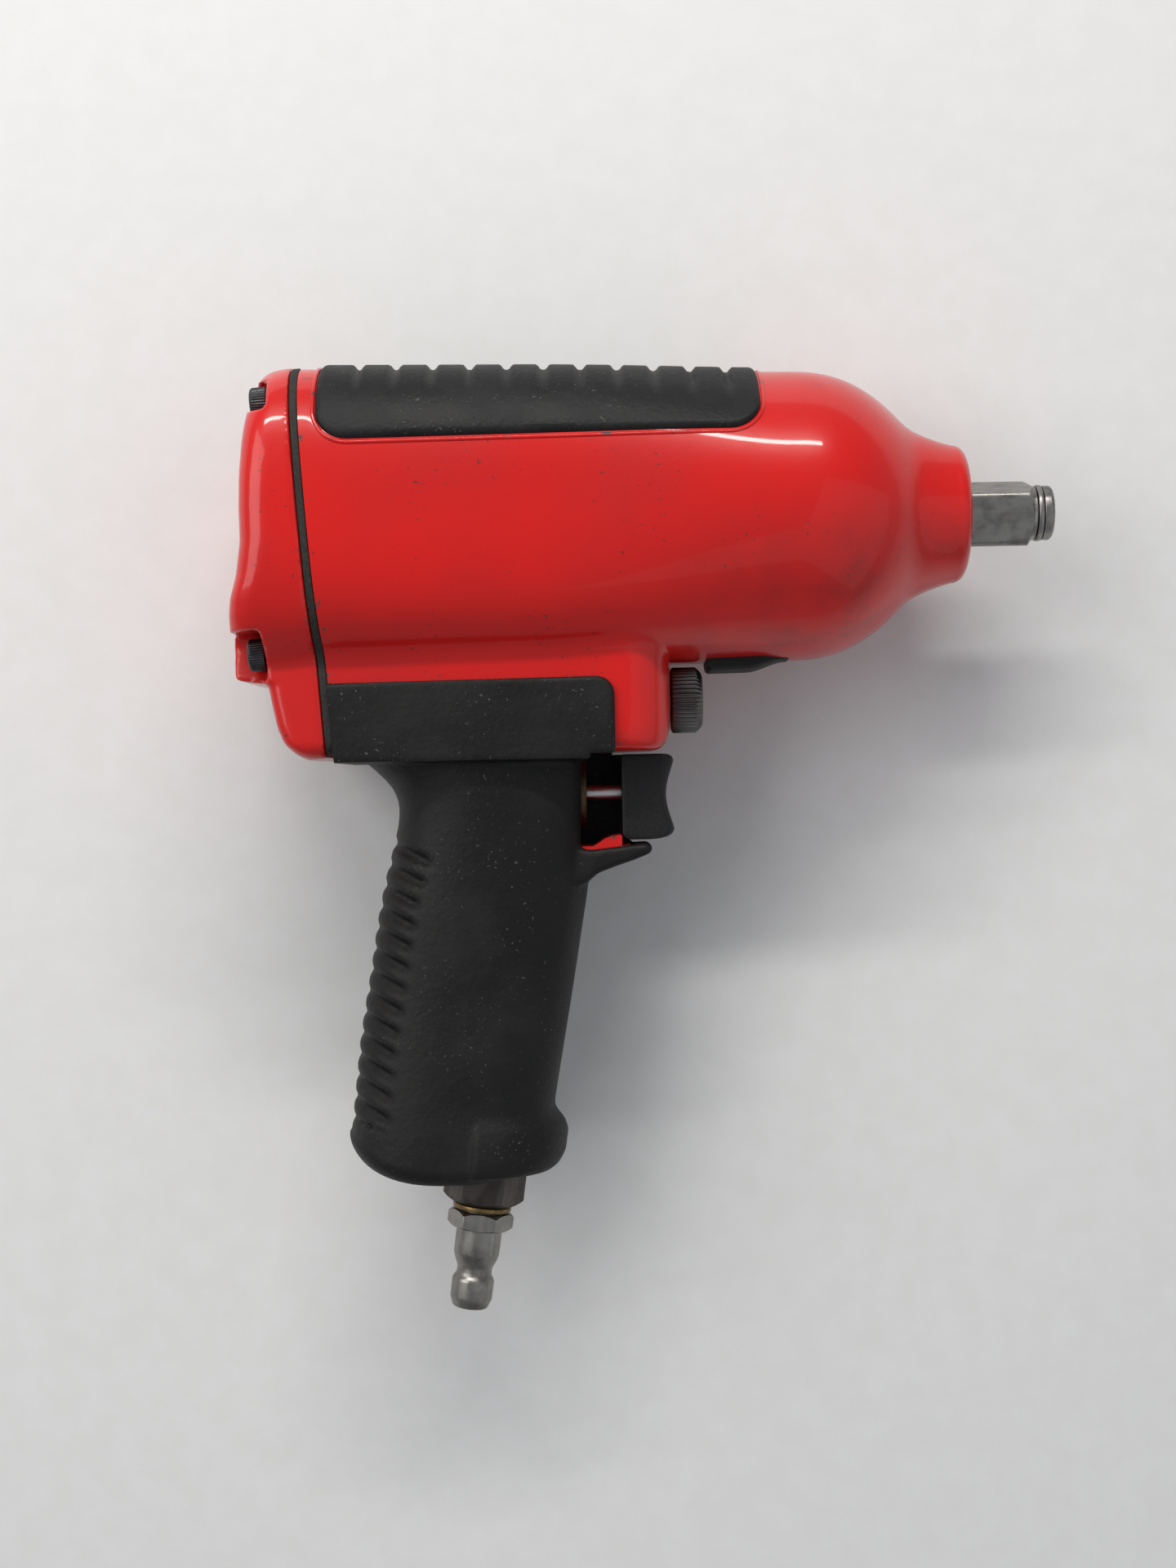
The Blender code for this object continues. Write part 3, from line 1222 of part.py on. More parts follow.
def build_spring(front, back, mat):
    """Throttle spring: one round wire wound into a helix, with near-flat end turns."""
    per_turn, sides = 9, 4
    count = SPRING_TURNS * per_turn
    length = front - back - 2 * SPRING_WIRE_R
    rings = []
    for i in range(count + 1):
        share = i / count
        angle = math.tau * SPRING_TURNS * share
        climb = smoothstep(share, -0.3, 1.3)
        low, high = smoothstep(0.0, -0.3, 1.3), smoothstep(1.0, -0.3, 1.3)
        x = front - SPRING_WIRE_R - length * (climb - low) / (high - low)
        ring = []
        for k in range(sides):
            turn = math.tau * k / sides
            r = SPRING_R + SPRING_WIRE_R * math.cos(turn)
            ring.append((x + SPRING_WIRE_R * math.sin(turn), VALVE_Y + r * math.cos(angle), r * math.sin(angle)))
        rings.append(ring)
    least = length / SPRING_TURNS * 0.75 - 2 * SPRING_WIRE_R
    print(f"throttle_spring: least gap between turns about {least:.2f} mm")
    make_object("throttle_spring", loft(rings), mat, (back, VALVE_Y, 0.0))


def build_regulator(mats):
    """Knurled knob on the front of the block and the valve spindle it turns."""
    back = BLOCK_FRONT + GAP
    rings = []
    count = KNOB_RIDGES * 2
    for x, inset in ((back, 0.0), (KNOB_FRONT - 1.6, 0.0), (KNOB_FRONT, 1.6)):
        ring = []
        for i in range(count):
            angle = math.tau * i / count
            r = KNOB_R - inset - (0.35 if i % 2 else 0.0)
            ring.append((x, KNOB_Y + r * math.cos(angle), r * math.sin(angle)))
        rings.append(ring)
    knob = make_object("regulator_knob", loft(rings), mats["dark_steel"], (back, KNOB_Y, 0.0))
    cut(knob, rod(KNOB_FRONT + 1.0, KNOB_FRONT - 2.0, 3.0, SMALL_SIDES, (KNOB_Y, 0.0)))
    cut(knob, rod(back - 1.0, KNOB_FRONT - 3.5, 2.6, SMALL_SIDES, (KNOB_Y, 0.0)))

    tip = KNOB_FRONT - 3.5 - GAP
    shoulder = BLOCK_FRONT - 1.0
    groove = shoulder - 4.0
    spindle = [
        (tip, 0.0),
        (tip, 2.6 - PRESS),
        (shoulder, 2.6 - PRESS),
        (shoulder, REGULATOR_R),
        (groove, REGULATOR_R),
        (groove, REGULATOR_R - 1.3),
        (groove - 1.8, REGULATOR_R - 1.3),
        (groove - 1.8, REGULATOR_R),
        (REGULATOR_END, REGULATOR_R),
        (REGULATOR_END, 0.0),
    ]
    valve = make_object("regulator_valve", turned(spindle, MEDIUM_SIDES, (KNOB_Y, 0.0)), mats["bronze"], (shoulder, KNOB_Y, 0.0))
    cross = ((PORT_X, KNOB_Y - 9.0, 0.0), (PORT_X, KNOB_Y + 9.0, 0.0))
    cut(valve, tube_between(*cross, PORT_R - 0.4, SMALL_SIDES))
    ring = pipe(groove - 0.2, groove - 1.6, REGULATOR_R - 0.05, REGULATOR_R - 1.15, MEDIUM_SIDES, (KNOB_Y, 0.0))
    make_object("regulator_o_ring", ring, mats["rubber"])


# Air inlet and exhaust


def hex_ring(x, across, corner_r):
    """Section of a hexagon bar whose corners are turned down to a radius."""
    ring = []
    half = math.acos(min(across / 2 / corner_r, 1.0))
    for i in range(6):
        for side in (-1, 1):
            angle = math.tau * i / 6 + side * half
            ring.append((x, corner_r * math.cos(angle), corner_r * math.sin(angle)))
    return ring


def build_inlet(mats):
    """Threaded bushing, its screen, the seal ring and the air plug, all along the inlet axis."""
    place = inlet_frame()
    seat = SPOT_FACE + GAP
    end = seat + BUSHING_LENGTH
    thread = pipe(seat + 1.0, seat - BUSHING_THREAD, BUSHING_THREAD_R, BUSHING_BORE_R, MEDIUM_SIDES)
    bushing = make_object("inlet_bushing", moved(thread, place), mats["brown_steel"])
    corner = BUSHING_HEX * 0.56
    rings = [hex_ring(seat, BUSHING_HEX, corner), hex_ring(end - 1.4, BUSHING_HEX, corner)]
    rings.append(hex_ring(end, BUSHING_HEX - 1.6, BUSHING_HEX * 0.465))
    join(bushing, moved(loft(rings), place))
    bore = rod(seat - BUSHING_THREAD - 1.0, end + 1.0, BUSHING_BORE_R, MEDIUM_SIDES)
    cut(bushing, moved(bore, place))

    hex_near = end + PLUG_STANDOFF
    hex_far = hex_near + PLUG_HEX_LENGTH
    tip = hex_far + PLUG_LENGTH
    inside = seat - 1.0
    thread_r = BUSHING_BORE_R - RUN
    profile = [
        (inside, PLUG_BORE_R),
        (inside, thread_r - 0.5),
        (inside + 0.5, thread_r),
        (hex_near + 1.0, thread_r),
        (hex_near + 1.0, PLUG_NECK_R),
        (tip - PLUG_TIP - 5.2, PLUG_NECK_R),
        (tip - PLUG_TIP - 3.6, PLUG_GROOVE_R + 0.5),
        (tip - PLUG_TIP - 2.4, PLUG_GROOVE_R),
        (tip - PLUG_TIP - 0.8, PLUG_GROOVE_R),
        (tip - PLUG_TIP + 0.4, PLUG_TIP_R),
        (tip - 2.2, PLUG_TIP_R),
        (tip - 1.2, PLUG_TIP_R - 0.5),
        (tip - 0.4, PLUG_TIP_R - 0.7),
        (tip, PLUG_TIP_R - 1.2),
        (tip, PLUG_BORE_R),
    ]
    plug = make_object("air_plug", moved(turned(profile, MEDIUM_SIDES), place), mats["worn_steel"])
    plug_corner = PLUG_HEX * 0.56
    hexagon = [
        hex_ring(hex_near, PLUG_HEX - 1.2, PLUG_HEX * 0.47),
        hex_ring(hex_near + 0.8, PLUG_HEX, plug_corner),
        hex_ring(hex_far - 0.8, PLUG_HEX, plug_corner),
        hex_ring(hex_far, PLUG_HEX - 1.2, PLUG_HEX * 0.47),
    ]
    join(plug, moved(loft(hexagon), place))
    cut(plug, moved(rod(inside - 1.0, tip + 1.0, PLUG_BORE_R, MEDIUM_SIDES), place))

    seal = pipe(end + GAP, hex_near - GAP, thread_r + 1.3, thread_r + PRESS, MEDIUM_SIDES)
    make_object("inlet_seal", moved(seal, place), mats["brass"])

    screen_x = inside - GAP
    screen = rod(screen_x, screen_x - 1.0, BUSHING_BORE_R - PRESS, 20)
    disc = make_object("inlet_screen", moved(screen, place), mats["steel"])
    holes = [(0.0, 0.0)] + [(3.0 * math.cos(math.tau * i / 4), 3.0 * math.sin(math.tau * i / 4)) for i in range(4)]
    for centre in holes:
        cut(disc, moved(rod(screen_x + 1.0, screen_x - 2.0, 0.9, 6, centre), place))


def build_muffler(mats):
    """Perforated plug in the mouth of the exhaust passage, behind the air inlet."""
    along = (exhaust_end() - exhaust_start()).normalized()
    share = (exhaust_start().y - CORE_BOTTOM) / -along.y
    mouth = exhaust_start() + along * (share - 0.8)
    top = mouth - along * MUFFLER_LENGTH
    muffler = make_object("exhaust_muffler", tube_between(top, mouth, EXHAUST_R - PRESS, SMALL_SIDES), mats["bronze"])
    side = Vector((0.0, 0.0, 1.0))
    across = along.cross(side)
    for i in range(5):
        turn = math.tau * i / 5
        shift = (side * math.cos(turn) + across * math.sin(turn)) * 2.8
        cut(muffler, tube_between(top - along + shift, mouth + along + shift, 0.9, 6))


def main():
    clear_scene()
    mats = {
        "paint": material("red_paint", (0.62, 0.02, 0.015), 0.28),
        "rubber": material("black_rubber", (0.02, 0.02, 0.021), 0.75),
        "plastic": material("black_plastic", (0.025, 0.025, 0.027), 0.6),
        "steel": material("steel", (0.56, 0.56, 0.55), 0.3, 1.0),
        "dark_steel": material("dark_steel", (0.16, 0.15, 0.14), 0.45, 1.0),
        "black_steel": material("black_steel", (0.03, 0.03, 0.03), 0.4, 0.8),
        "brown_steel": material("brown_steel", (0.12, 0.075, 0.05), 0.5, 0.9),
        "chrome": material("bright_steel", (0.75, 0.75, 0.76), 0.18, 1.0),
        "bronze": material("bronze", (0.5, 0.33, 0.14), 0.38, 1.0),
        "brass": material("brass", (0.62, 0.44, 0.16), 0.3, 1.0),
        "worn_steel": material("worn_steel", (0.33, 0.32, 0.3), 0.4, 1.0),
        "vane": material("vane_composite", (0.1, 0.05, 0.03), 0.6),
    }
    build_housing(mats["paint"])
    build_top_pad(mats["rubber"])
    build_bumper(mats["rubber"])
    build_grip(mats["rubber"])
    build_rear_group(mats)
    build_anvil(mats)
    build_hammer_frame(mats)
    build_hammers(mats)
    build_pins(mats)
    build_motor(mats)
    build_trigger(mats)
    build_regulator(mats)
    build_inlet(mats)
    build_muffler(mats)


main()
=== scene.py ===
# %% [markdown]
# # An air impact wrench, dressed over its solid model
# The wrench is already there as plain solids with working joints: casing, hammers, motor, trigger.
# This lesson gives it its finished look. Each piece that shows gets a fine mesh in the same place as
# its solid, and each finish is a small network of nodes. The tool lies on its left side, so +X runs
# forward along the drive, +Y up through the barrel and +Z straight up from the floor.

import json
import math

import bpy
import numpy as np
from mathutils import Matrix, Vector


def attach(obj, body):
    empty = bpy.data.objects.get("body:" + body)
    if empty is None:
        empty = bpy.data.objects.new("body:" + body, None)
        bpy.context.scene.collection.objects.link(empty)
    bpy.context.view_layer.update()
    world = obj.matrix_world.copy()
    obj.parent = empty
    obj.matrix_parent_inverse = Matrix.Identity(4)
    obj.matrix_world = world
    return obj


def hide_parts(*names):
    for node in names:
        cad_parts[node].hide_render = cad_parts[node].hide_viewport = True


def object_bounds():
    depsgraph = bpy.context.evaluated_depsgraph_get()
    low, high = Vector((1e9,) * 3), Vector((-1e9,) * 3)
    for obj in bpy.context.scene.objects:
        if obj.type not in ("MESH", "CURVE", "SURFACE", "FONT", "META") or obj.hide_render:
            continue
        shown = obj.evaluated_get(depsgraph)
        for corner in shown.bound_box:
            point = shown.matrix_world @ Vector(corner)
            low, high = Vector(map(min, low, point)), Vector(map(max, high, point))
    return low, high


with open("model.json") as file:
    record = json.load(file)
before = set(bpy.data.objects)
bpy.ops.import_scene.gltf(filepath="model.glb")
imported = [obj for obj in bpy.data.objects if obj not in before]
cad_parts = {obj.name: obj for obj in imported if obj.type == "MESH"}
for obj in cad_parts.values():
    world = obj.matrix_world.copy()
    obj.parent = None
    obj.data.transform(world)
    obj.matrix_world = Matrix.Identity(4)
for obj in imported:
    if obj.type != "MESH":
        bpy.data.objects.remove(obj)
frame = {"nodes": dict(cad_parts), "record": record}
solid_low, solid_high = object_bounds()
print("solids:", len(frame["nodes"]), "box", [round(v, 4) for v in (*solid_low, *solid_high)])

# %% [markdown]
# ## Camera
# The photograph looks straight down on the tool, from a height over the drive axis that is taken as
# half a metre. The tool's axis climbs one degree to the right in the picture, so the camera is turned
# by one degree instead of the tool. The lens follows from the picture's height of 1920 pixels and its
# scale.

# %% Camera
MM = 0.001
FOCAL_PIXELS = 2675.0
PICTURE_HEIGHT = 1920.0
CAMERA_HEIGHT = 0.5
CAMERA_TURN = -1.0

camera_data = bpy.data.cameras.new("camera")
camera_data.lens = 36.0 * FOCAL_PIXELS / PICTURE_HEIGHT
camera = bpy.data.objects.new("camera", camera_data)
camera.location = (-0.10686, -0.0602, CAMERA_HEIGHT)
camera.rotation_euler = (0.0, 0.0, math.radians(CAMERA_TURN))
bpy.context.scene.collection.objects.link(camera)
bpy.context.scene.camera = camera
bpy.context.scene.view_settings.view_transform = "Standard"
print("lens", round(camera_data.lens, 2), "mm")

# %% [markdown]
# ## Floor and light
# A pale plain floor touches the lowest point of the tool. One long narrow lamp stands beyond the top
# of the tool: it draws the thin bright streak along the barrel under the rubber pad. A wide lamp on
# the left fills the shadows, a larger and weaker one on the right lights the nose, and the sky of the
# world softens both.

# %% Floor
FLOOR_HALF = 3.0
floor_z = solid_low.z - 0.0004
floor_mesh = bpy.data.meshes.new("floor")
floor_corners = [(-1, -1), (1, -1), (1, 1), (-1, 1)]
floor_mesh.from_pydata(
    [(FLOOR_HALF * a, FLOOR_HALF * b, floor_z) for a, b in floor_corners], [], [(0, 1, 2, 3)],
)
floor = bpy.data.objects.new("floor", floor_mesh)
bpy.context.scene.collection.objects.link(floor)
print("floor at", round(floor_z, 4))


# %% Lamps
def add_lamp(name, place, target, size, size_y, power, colour):
    lamp_data = bpy.data.lights.new(name, "AREA")
    lamp_data.shape = "RECTANGLE"
    lamp_data.size = size
    lamp_data.size_y = size_y
    lamp_data.energy = power
    lamp_data.color = colour
    lamp = bpy.data.objects.new(name, lamp_data)
    lamp.location = place
    aim = Vector(target) - Vector(place)
    lamp.rotation_euler = aim.to_track_quat("-Z", "Y").to_euler()
    bpy.context.scene.collection.objects.link(lamp)
    return lamp


MIDDLE = (-0.1, -0.06, 0.0)
add_lamp("strip_lamp", (-0.15, 0.66, 0.52), MIDDLE, 0.7, 0.05, 5.0, (1.0, 0.97, 0.93))
add_lamp("wide_lamp", (-0.95, 0.3, 0.85), MIDDLE, 0.9, 0.9, 8.0, (1.0, 0.98, 0.96))
add_lamp("side_lamp", (0.75, -0.35, 0.85), MIDDLE, 1.7, 1.7, 2.6, (0.95, 0.97, 1.0))

world = bpy.data.worlds.new("studio")
world.use_nodes = True
sky = world.node_tree.nodes["Background"]
sky.inputs["Color"].default_value = (0.86, 0.9, 0.96, 1.0)
sky.inputs["Strength"].default_value = 0.33
bpy.context.scene.world = world

# %% [markdown]
# ## A small kit for finishes
# Every finish below is built from the same few parts: noise in the object's own space, a range that
# turns noise into a mask, a mix of two colours and a bump. Naming them once keeps each recipe short.


# %% Kit for finishes
def new_finish(name, colour, roughness, metallic=0.0):
    """A material and its shader, with one starting colour."""
    mat = bpy.data.materials.new(name)
    mat.use_nodes = True
    shader = mat.node_tree.nodes["Principled BSDF"]
    shader.inputs["Base Color"].default_value = (*colour, 1.0)
    shader.inputs["Roughness"].default_value = roughness
    shader.inputs["Metallic"].default_value = metallic
    mat.diffuse_color = (*colour, 1.0)
    return mat, shader


def add_node(mat, kind, **values):
    """A node with its inputs set; an underscore in a name stands for a space."""
    made = mat.node_tree.nodes.new(kind)
    for key, value in values.items():
        made.inputs[key.replace("_", " ")].default_value = value
    return made


def link(mat, output, socket):
    mat.node_tree.links.new(output, socket)


def object_space(mat, stretch=(1.0, 1.0, 1.0)):
    """The object's own coordinates, stretched so that a pattern can run along one way."""
    place = add_node(mat, "ShaderNodeTexCoord")
    mapping = add_node(mat, "ShaderNodeMapping", Scale=stretch)
    link(mat, place.outputs["Object"], mapping.inputs["Vector"])
    return mapping.outputs["Vector"]


def noise(mat, space, scale, detail=2.0, roughness=0.5):
    made = add_node(mat, "ShaderNodeTexNoise", Scale=scale, Detail=detail, Roughness=roughness)
    link(mat, space, made.inputs["Vector"])
    return made.outputs["Fac"]


def cells(mat, space, scale):
    made = add_node(mat, "ShaderNodeTexVoronoi", Scale=scale)
    link(mat, space, made.inputs["Vector"])
    return made.outputs["Distance"]


def spread(mat, value, low, high, start=0.0, end=1.0):
    """Maps a value from one range to another and stops at its ends."""
    made = add_node(mat, "ShaderNodeMapRange")
    made.inputs["From Min"].default_value = low
    made.inputs["From Max"].default_value = high
    made.inputs["To Min"].default_value = start
    made.inputs["To Max"].default_value = end
    link(mat, value, made.inputs["Value"])
    return made.outputs["Result"]


def times(mat, first, second):
    made = add_node(mat, "ShaderNodeMath")
    made.operation = "MULTIPLY"
    link(mat, first, made.inputs[0])
    if isinstance(second, float):
        made.inputs[1].default_value = second
    else:
        link(mat, second, made.inputs[1])
    return made.outputs[0]


def blend_colours(mat, share, first, second):
    """Mixes two colours, each a tuple or a socket, by a share."""
    made = mat.node_tree.nodes.new("ShaderNodeMix")
    made.data_type = "RGBA"
    link(mat, share, made.inputs["Factor"])
    for socket, colour in ((made.inputs[6], first), (made.inputs[7], second)):
        if isinstance(colour, tuple):
            socket.default_value = (*colour, 1.0)
        else:
            link(mat, colour, socket)
    return made.outputs[2]


def add_bump(mat, shader, height, strength, distance, before=None):
    """Bump from a height; a second one can be laid over the first."""
    made = add_node(mat, "ShaderNodeBump", Strength=strength, Distance=distance)
    link(mat, height, made.inputs["Height"])
    if before:
        link(mat, before, made.inputs["Normal"])
    link(mat, made.outputs["Normal"], shader.inputs["Normal"])
    return made.outputs["Normal"]


def height_along(mat, axis):
    """The object's coordinate along one axis, in metres."""
    place = add_node(mat, "ShaderNodeTexCoord")
    parts = add_node(mat, "ShaderNodeSeparateXYZ")
    link(mat, place.outputs["Object"], parts.inputs["Vector"])
    return parts.outputs[axis]


def edge_mask(mat, low, high):
    """Where a surface is sharply convex, so where handling wears it first."""
    shape = add_node(mat, "ShaderNodeNewGeometry")
    return spread(mat, shape.outputs["Pointiness"], low, high)


print("kit for finishes ready")

# %% [markdown]
# ## Red paint
# The casing is cast aluminium under a thick glossy coat. The gloss is a clear coat over a slightly
# rough red. The lower half of the nose is darker in patches. Workshop use shows as small dark chips on
# the edges and a few dark flecks. A faint unevenness, like the skin of an orange, breaks up the reflections.


# %% Red paint
def red_paint():
    mat, shader = new_finish("red_paint", (0.6, 0.0075, 0.0055), 0.34)
    shader.inputs["Specular IOR Level"].default_value = 0.25
    shader.inputs["Coat Weight"].default_value = 0.55
    shader.inputs["Coat Roughness"].default_value = 0.06
    shader.inputs["Coat IOR"].default_value = 1.42
    space = object_space(mat)
    cloud = spread(mat, noise(mat, space, 28.0, 3.0), 0.35, 0.7)
    red = blend_colours(mat, cloud, (0.61, 0.0075, 0.0055), (0.5, 0.006, 0.0045))
    # Darker patches on the lower half of the nose, fading out towards the rear.
    nose_patch_noise = spread(mat, noise(mat, space, 95.0, 6.0, 0.65), 0.46, 0.66)
    low_side = spread(mat, height_along(mat, "Y"), 0.004, -0.03)
    front = spread(mat, height_along(mat, "X"), -0.1, -0.03)
    dark_nose_patches = times(mat, times(mat, nose_patch_noise, low_side), front)
    red = blend_colours(mat, times(mat, dark_nose_patches, 0.62), red, (0.09, 0.012, 0.01))
    chips = spread(mat, noise(mat, space, 420.0, 5.0, 0.6), 0.6, 0.66)
    chips = times(mat, chips, edge_mask(mat, 0.512, 0.54))
    red = blend_colours(mat, chips, red, (0.06, 0.045, 0.04))
    flecks = spread(mat, noise(mat, space, 900.0, 2.0), 0.67, 0.71)
    flecks = times(mat, flecks, spread(mat, noise(mat, space, 60.0), 0.5, 0.62))
    red = blend_colours(mat, times(mat, flecks, 0.75), red, (0.05, 0.02, 0.018))
    link(mat, red, shader.inputs["Base Color"])
    link(mat, spread(mat, cloud, 0.0, 1.0, 0.28, 0.42), shader.inputs["Roughness"])
    add_bump(mat, shader, noise(mat, space, 260.0, 2.0), 0.12, 0.00022)
    return mat


# %% [markdown]
# ## Moulded rubber
# The pad and the grip are black rubber moulded in a blasted tool, so they have a fine leathery grain
# of about half a millimetre and a soft sheen on the high places. Dust sits in the grain as grey specks.


# %% Moulded rubber
def moulded_rubber(name, colour, grain, roughness):
    mat, shader = new_finish(name, colour, roughness)
    shader.inputs["Specular IOR Level"].default_value = 0.24
    space = object_space(mat)
    wear = spread(mat, noise(mat, space, 45.0, 4.0, 0.6), 0.42, 0.72)
    dark = tuple(0.72 * c for c in colour)
    worn = tuple(1.9 * c for c in colour)
    black = blend_colours(mat, wear, dark, worn)
    dust = spread(mat, noise(mat, space, 1300.0, 3.0), 0.66, 0.7)
    dust = times(mat, dust, spread(mat, noise(mat, space, 70.0), 0.45, 0.65))
    black = blend_colours(mat, times(mat, dust, 0.5), black, (0.16, 0.155, 0.15))
    link(mat, black, shader.inputs["Base Color"])
    link(mat, spread(mat, wear, 0.0, 1.0, roughness - 0.07, roughness + 0.08), shader.inputs["Roughness"])
    fine = noise(mat, space, grain, 3.0, 0.6)
    first = add_bump(mat, shader, fine, 0.65, 0.00018)
    add_bump(mat, shader, cells(mat, space, grain * 0.5), 0.35, 0.00014, first)
    return mat


# %% [markdown]
# ## Bare and coated steels
# The square drive is ground steel, dulled by sockets. Fittings are plated or phosphated. One recipe
# with different numbers serves all: a base metal, a darker stain in patches, bright rubbed edges and
# fine marks that run one way.


# %% Steels
def worked_steel(name, bright, stain, roughness, lines=(1.0, 1.0, 1.0), stain_share=0.6, metallic=1.0):
    mat, shader = new_finish(name, bright, roughness, metallic)
    space = object_space(mat)
    streaks = object_space(mat, lines)
    patches = spread(mat, noise(mat, space, 170.0, 5.0, 0.62), 0.46, 0.68)
    colour = blend_colours(mat, times(mat, patches, stain_share), bright, stain)
    rubbed = edge_mask(mat, 0.52, 0.58)
    light = tuple(min(1.25 * c + 0.05, 0.9) for c in bright)
    colour = blend_colours(mat, times(mat, rubbed, 0.7), colour, light)
    link(mat, colour, shader.inputs["Base Color"])
    rough = spread(mat, noise(mat, streaks, 900.0, 3.0), 0.3, 0.7, roughness - 0.1, roughness + 0.12)
    link(mat, rough, shader.inputs["Roughness"])
    add_bump(mat, shader, noise(mat, streaks, 700.0, 4.0), 0.12, 0.00006)
    return mat


# %% [markdown]
# ## The other finishes
# The gasket is a fibre sheet with soft edges, the trigger is nylon with a bead-blasted face, and the
# bushings are porous bronze. The floor is matt and pale with hardly any tone of its own.


# %% Plain finishes
def speckled(name, colour, other, roughness, scale, bump, metallic=0.0):
    """A fine two-tone grain, for fibre, nylon and porous bronze."""
    mat, shader = new_finish(name, colour, roughness, metallic)
    shader.inputs["Specular IOR Level"].default_value = 0.28
    space = object_space(mat)
    grain = spread(mat, noise(mat, space, scale, 3.0, 0.6), 0.38, 0.64)
    link(mat, blend_colours(mat, grain, colour, other), shader.inputs["Base Color"])
    link(mat, spread(mat, grain, 0.0, 1.0, roughness - 0.06, roughness + 0.08), shader.inputs["Roughness"])
    add_bump(mat, shader, noise(mat, space, scale * 1.3, 2.0), bump, 0.0001)
    return mat


FINISHES = {
    "red_paint": red_paint(),
    "black_rubber": moulded_rubber("black_rubber", (0.0068, 0.0068, 0.0072), 1150.0, 0.55),
    "grip_rubber": moulded_rubber("grip_rubber", (0.0072, 0.0069, 0.0067), 950.0, 0.58),
    "black_plastic": speckled(
        "black_plastic", (0.0065, 0.0065, 0.007), (0.014, 0.014, 0.015), 0.48, 2600.0, 0.35,
    ),
    "steel": worked_steel("steel", (0.27, 0.26, 0.245), (0.075, 0.066, 0.06), 0.36, (0.15, 1.0, 1.0)),
    "dark_steel": worked_steel("dark_steel", (0.17, 0.165, 0.16), (0.07, 0.06, 0.055), 0.45),
    "knob_steel": worked_steel(
        "knob_steel", (0.13, 0.125, 0.12), (0.04, 0.038, 0.036), 0.42, (0.2, 1.0, 1.0),
    ),
    "black_steel": worked_steel("black_steel", (0.045, 0.045, 0.047), (0.02, 0.02, 0.02), 0.38),
    "brown_steel": worked_steel("brown_steel", (0.055, 0.046, 0.041), (0.018, 0.015, 0.013), 0.45),
    "bright_steel": worked_steel(
        "bright_steel", (0.62, 0.62, 0.61), (0.4, 0.39, 0.38), 0.3, (0.2, 1.0, 1.0), 0.3,
    ),
    "worn_steel": worked_steel("worn_steel", (0.27, 0.26, 0.24), (0.07, 0.06, 0.052), 0.38, (1.0, 0.3, 1.0)),
    "zinc": worked_steel("zinc", (0.5, 0.5, 0.49), (0.25, 0.24, 0.22), 0.36),
    "bronze": speckled("bronze", (0.42, 0.27, 0.12), (0.5, 0.35, 0.17), 0.4, 1800.0, 0.2, 1.0),
    # A darkened copy of the bronze: painted shade for the shadow round the stem in the trigger well.
    "shaded_bronze": speckled("shaded_bronze", (0.09, 0.06, 0.035), (0.14, 0.095, 0.05), 0.5, 1800.0, 0.2, 1.0),
    "brass": speckled("brass", (0.26, 0.18, 0.075), (0.14, 0.095, 0.045), 0.4, 900.0, 0.12, 1.0),
    "vane_composite": speckled("vane_composite", (0.11, 0.06, 0.035), (0.07, 0.035, 0.02), 0.6, 1400.0, 0.2),
    "gasket_sheet": speckled("gasket_sheet", (0.016, 0.016, 0.014), (0.034, 0.033, 0.029), 0.75, 1500.0, 0.4),
}
floor.data.materials.append(speckled("pale_floor", (0.71, 0.71, 0.7), (0.73, 0.73, 0.725), 0.75, 120.0, 0.02))
print("finishes", len(FINISHES))

# %% [markdown]
# ## A small kit for meshes
# Most pieces are rings of points joined one to the next, which bmesh or a Screw would make too. Plain
# arrays are quicker for thousands of points and keep the formula in view. All sizes are in
# millimetres, as on a drawing, and become metres when the mesh is made.


# %% Kit for meshes
SMOOTH_ANGLE = 38.0


def piece_from(name, points, faces, finish, smooth_angle=SMOOTH_ANGLE):
    """An object from points in millimetres."""
    mesh = bpy.data.meshes.new(name)
    mesh.from_pydata([tuple(MM * float(v) for v in p) for p in points], [], [tuple(f) for f in faces])
    mesh.validate()
    mesh.shade_smooth()
    mesh.set_sharp_from_angle(angle=math.radians(smooth_angle))
    if finish:
        mesh.materials.append(FINISHES[finish])
    piece = bpy.data.objects.new(name, mesh)
    bpy.context.scene.collection.objects.link(piece)
    return piece


def skin_over(name, rings, finish, ends="capped", smooth_angle=SMOOTH_ANGLE):
    """Rings of points joined in order; the ends are capped, or joined to each other."""
    rings = np.asarray(rings, float)
    count, sides = rings.shape[:2]
    faces = []
    pairs = [(i, i + 1) for i in range(count - 1)] + ([(count - 1, 0)] if ends == "joined" else [])
    for near, far in pairs:
        for k in range(sides):
            nxt = (k + 1) % sides
            faces.append((near * sides + k, near * sides + nxt, far * sides + nxt, far * sides + k))
    if ends == "capped":
        faces.append(tuple(range(sides))[::-1])
        faces.append(tuple((count - 1) * sides + k for k in range(sides)))
    piece = piece_from(name, rings.reshape(-1, 3), faces, finish, smooth_angle)
    face_outwards(piece)
    return piece


def face_outwards(piece):
    """Turns the faces round if the closed mesh has a negative volume."""
    mesh = piece.data
    mesh.calc_loop_triangles()
    points = np.array([v.co for v in mesh.vertices])
    faces = np.array([t.vertices for t in mesh.loop_triangles])
    if np.linalg.det(points[faces]).sum() < 0:
        mesh.flip_normals()


def turned_piece(name, profile, finish, sides=64, centre=(0.0, 0.0), bore=False, smooth_angle=SMOOTH_ANGLE):
    """A piece from the lathe: (x, radius) points turned about the drive axis or a line beside it."""
    angles = np.linspace(0.0, math.tau, sides, endpoint=False)
    rings = [
        [(x, centre[0] + r * math.cos(a), centre[1] + r * math.sin(a)) for a in angles]
        for x, r in profile
    ]
    return skin_over(name, rings, finish, "joined" if bore else "capped", smooth_angle)


